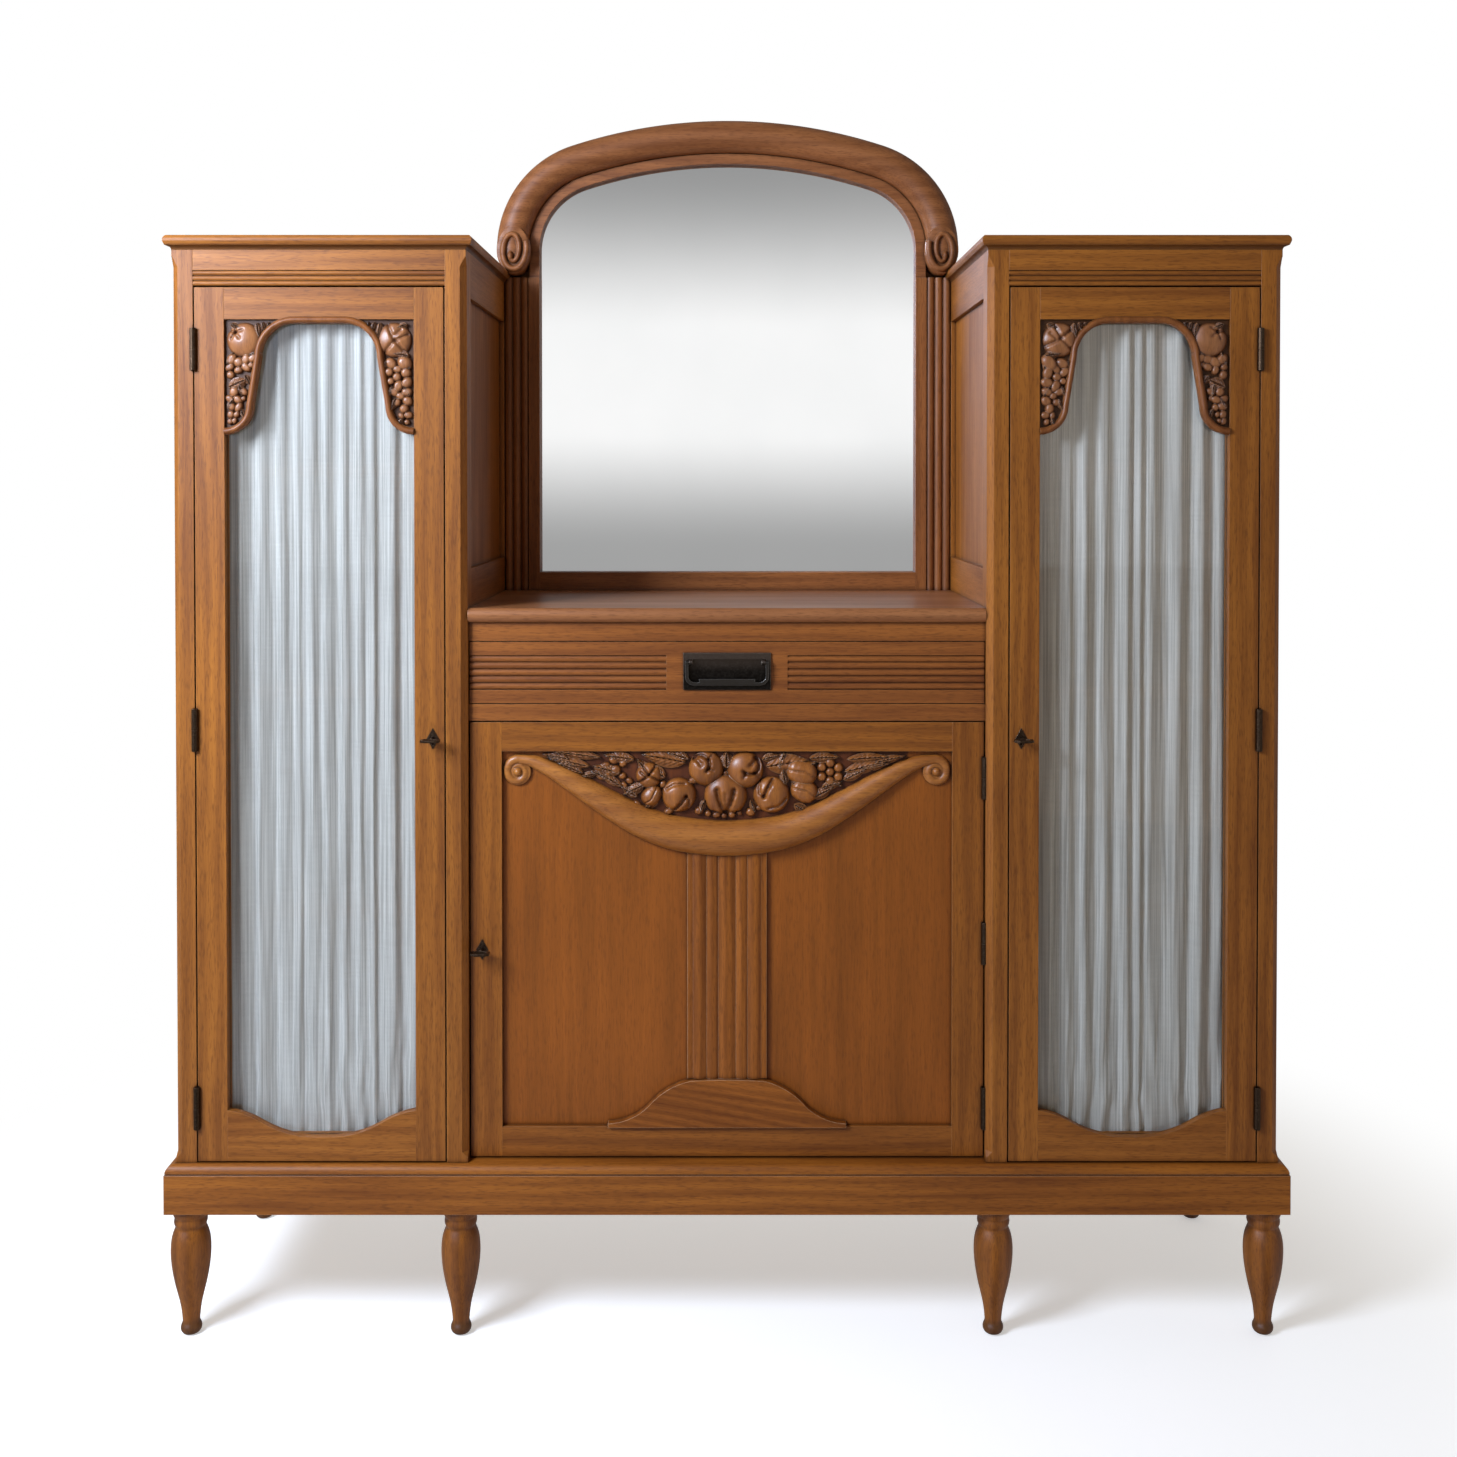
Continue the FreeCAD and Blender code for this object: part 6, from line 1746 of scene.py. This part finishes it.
@dataclass
class Studio:
    """A plain pale room with soft light from the left, and the camera."""

    camera_place: Place = (0.0065, -2.385, 1.227)
    pitch: float = 0.85
    lens: float = 38.3
    shift: Point = (-0.0021, -0.1548)

    def shoot(self) -> None:
        """Sets up the camera at the photograph's view."""
        put_down()
        bpy.ops.object.camera_add(
            location=self.camera_place, rotation=(math.radians(90 - self.pitch), 0, 0))
        camera = started("camera")
        camera.data.lens = self.lens
        camera.data.sensor_width = 36
        camera.data.shift_x, camera.data.shift_y = self.shift
        camera.data.clip_end = 60
        bpy.context.scene.camera = camera

    def lamp(self, name: str, place: Place, aim: Place, size: float, power: float,
             colour: str) -> bpy.types.Object:
        """A soft square lamp that the camera doesn't see.

        Args:
            name: The lamp's name.
            place: Where it stands.
            aim: What it faces.
            size: Its side in metres.
            power: Its power in watts.
            colour: Its colour.

        Returns:
            The lamp.
        """
        put_down()
        way = Vector(aim) - Vector(place)
        bpy.ops.object.light_add(
            type="AREA", location=place, rotation=way.to_track_quat("-Z", "Y").to_euler())
        lamp = started(name)
        lamp.data.size = size
        lamp.data.energy = power
        lamp.data.color = linear(colour)[:3]
        lamp.visible_camera = False
        return lamp

    def floor(self) -> None:
        """A pale floor that keeps the sideboard's shadow."""
        put_down()
        bpy.ops.mesh.primitive_plane_add(size=40, location=(0, 0, 0))
        floor = started("floor")
        material, add = fresh("pale_floor")
        path = add("LightPath")
        pale = add("BsdfPrincipled", {"Base Color": linear("#F4F3F1"), "Roughness": 0.9})
        lift = add("Emission", {0: linear("#FFFFFF"), 1: 0.42})
        white = add("Emission", {0: linear("#FFFFFF"), 1: 1.0})
        lifted = add("AddShader", {0: pale, 1: lift})
        place = add("TexCoord").outputs["Object"]
        far = add("VectorMath", {0: place}, operation="LENGTH").outputs[1]
        fade = add("MapRange", {0: far, 1: 0.8, 2: 1.5}, interpolation_type="SMOOTHSTEP")
        paling = add("MixShader", {0: fade, 1: lifted, 2: white})
        both = add("MixShader", {0: path.outputs["Is Camera Ray"], 1: pale, 2: paling})
        add("OutputMaterial", {0: both})
        floor.data.materials.append(material)
        floor.visible_glossy = False

    def room(self) -> None:
        """Even light from all round, white to the camera and banded to glossy things."""
        world = bpy.data.worlds.new("room")
        bpy.context.scene.world = world
        world.use_nodes = True
        world.node_tree.nodes.clear()
        add = partial(add_node, world.node_tree)
        path = add("LightPath")
        way = add("TexCoord").outputs["Generated"]
        left, front, rise = add("SeparateXYZ", {0: way}).outputs
        aside = add("Math", {0: left}, operation="ABSOLUTE")
        up = add(
            "MapRange", {0: rise, 1: 0.075, 2: 0.20, 3: 1.07, 4: 0.33}, interpolation_type="SMOOTHSTEP")
        down = add(
            "MapRange", {0: rise, 1: 0.045, 2: -0.045, 3: 1.07, 4: 0.39}, interpolation_type="SMOOTHSTEP")
        beside = add(
            "MapRange", {0: aside, 1: 0.17, 2: 0.32, 3: 1.0, 4: 0.20}, interpolation_type="SMOOTHSTEP")
        far_aside = add(
            "MapRange", {0: aside, 1: 0.34, 2: 0.46, 3: 0.0, 4: 0.5}, interpolation_type="SMOOTHSTEP")
        underfoot = add(
            "MapRange", {0: rise, 1: -0.10, 2: -0.24, 3: 1.0, 4: 0.13}, interpolation_type="SMOOTHSTEP")
        behind = add("MapRange", {0: front, 1: -0.4, 2: 0.0, 3: 1.0, 4: 0.30})
        band = add("Math", {0: up, 1: down}, operation="MINIMUM")
        for edge in (beside, underfoot):
            band = add("Math", {0: band, 1: edge}, operation="MINIMUM")
        band = add("Math", {0: band, 1: far_aside}, operation="MAXIMUM")
        band = add("Math", {0: band, 1: behind}, operation="MINIMUM")
        window = add(
            "MapRange", {0: left, 1: -0.15, 2: -0.27, 3: 0.0, 4: 3.2}, interpolation_type="SMOOTHSTEP")
        high = add(
            "MapRange", {0: rise, 1: -0.02, 2: 0.20, 3: 0.6, 4: 3.2}, interpolation_type="SMOOTHSTEP")
        before = add("MapRange", {0: front, 1: -0.6, 2: -0.2, 3: 3.2, 4: 0.0})
        for edge in (high, before):
            window = add("Math", {0: window, 1: edge}, operation="MINIMUM")
        band = add("Math", {0: band, 1: window}, operation="MAXIMUM")
        beyond = add("Math", {0: aside, 1: 0.6, 2: front}, operation="MULTIPLY_ADD")
        around = add(
            "MapRange", {0: beyond, 1: 0.1, 2: 0.6, 3: 0.15, 4: 1.0}, interpolation_type="SMOOTHSTEP")
        low = add(
            "MapRange", {0: rise, 1: 0.35, 2: 0.75, 3: 1.0, 4: 0.15}, interpolation_type="SMOOTHSTEP")
        soft = add("Math", {0: around, 1: low}, operation="MINIMUM")
        plain = add("Background", {0: linear("#F5F0E6"), 1: soft})
        tint = add(
            "Mix", {0: window, 6: linear("#FFFFFF"), 7: linear("#C6DBFF")}, data_type="RGBA").outputs[2]
        banded = add("Background", {0: tint, 1: band})
        white = add("Background", {0: linear("#FFFFFF"), 1: 1.0})
        glossy = add("MixShader", {0: path.outputs["Is Glossy Ray"], 1: plain, 2: banded})
        through = add(
            "Math", {0: path.outputs["Is Camera Ray"], 1: path.outputs["Is Transmission Ray"]},
            operation="MAXIMUM")
        seen = add("MixShader", {0: through, 1: glossy, 2: white})
        add("OutputWorld", {0: seen})

    def build(self) -> None:
        """The camera, the lamps, the floor and the room."""
        bpy.context.scene.view_settings.view_transform = "Standard"
        self.shoot()
        self.lamp("window_lamp", (-1.62, -1.45, 1.97), (-0.8, 0, 1.35), 0.8, 88, "#DCE9FF")
        fill = self.lamp("fill_lamp", (1.4, -3.4, 1.1), (0.1, 0, 0.7), 2.4, 8.5, "#FFD09A")
        fill.visible_glossy = False
        self.floor()
        self.room()


@dataclass
class CadFinishes:
    """The finishes of the pieces whose CAD shape is kept."""

    upright: Sequence[str] = ("left_tower_posts", "right_tower_posts", "tower_side_panels")
    deep: Sequence[str] = ("tower_side_rails", "plinth_returns")
    inside: Sequence[str] = ("left_tower_back", "right_tower_back", "centre_back", "shelf_cleats")
    inside_level: Sequence[str] = (
        "left_tower_floor", "right_tower_floor", "centre_floor", "centre_shelf", "left_shelves",
        "mirror_board", "right_shelves", "drawer_box", "drawer_runners",
    )

    def build(self, bench: Bench) -> None:
        """Coats every CAD node that stays.

        Args:
            bench: Where pieces are dressed.
        """
        groups = {UPRIGHT_OAK: self.upright, LEVEL_OAK: (
            "centre_rails",), DEEP_OAK: self.deep, INSIDE_OAK: self.inside,
            INSIDE_LEVEL_OAK: self.inside_level, TOWER_FRAME_OAK: ("left_door_frame", "right_door_frame"),
            CENTRE_FRAME_OAK: ("centre_door_frame",), RAIL_OAK: ("left_top_rail", "right_top_rail"),
            CORNICE_OAK: ("left_cornice", "right_cornice"), ARCH_OAK: ("arch_strip",),
            DRAWER_OAK: ("drawer_front",), PLINTH_OAK: ("plinth_front",), COUNTER_OAK: ("counter_top",),
            DOOR_HEAD_OAK: ("left_door_arch", "right_door_arch"), MIRROR_FRAME_OAK: ("mirror_frame",),
            PANEL_OAK: ("centre_door_panel",), PILASTER_OAK: ("centre_door_pilaster",),
            ClearGlass(): ("left_door_glass", "right_door_glass"), LookingGlass(): ("mirror_glass",),
            ROD_BRASS: ("left_curtain_rods", "right_curtain_rods"), DARK_BRONZE: ("pull_plate",),
            BAIL_BRONZE: ("pull_bail",), KEY_IRON: ("left_key", "right_key", "centre_key", "post_hinges",
            "left_door_hinges_and_lock", "right_door_hinges_and_lock", "centre_door_hinges_and_lock"),
            LOCK_STEEL: ("left_lock_bolt", "right_lock_bolt", "centre_lock_bolt"),}
        for finish, names in groups.items():
            for name in names:
                bench.coat(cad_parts[name], finish)
                log.info("%s is finished in %s", name, finish.name)


def main() -> None:
    """Builds the sideboard's pieces in order, then the room round it."""
    logging.basicConfig(level=logging.INFO, format="%(message)s")
    bench = Bench()
    CadFinishes().build(bench)
    TurnedLegs().build(bench)
    ArchRoll().build(bench)
    carver = Carver()
    FruitSwag().build(bench, carver)
    for side in Side:
        DoorHead(side).build(bench, carver)
    carver.clear()
    cloth = SheerCloth("cotton_voile", "#E0DBD3", "#C0B9AF", 324, 1188)
    GatheredCurtain(Side.LEFT, cloth, 4).build(bench)
    GatheredCurtain(Side.RIGHT, cloth, 9).build(bench)
    Studio().build()
    put_down()


if __name__ == "__main__":
    main()
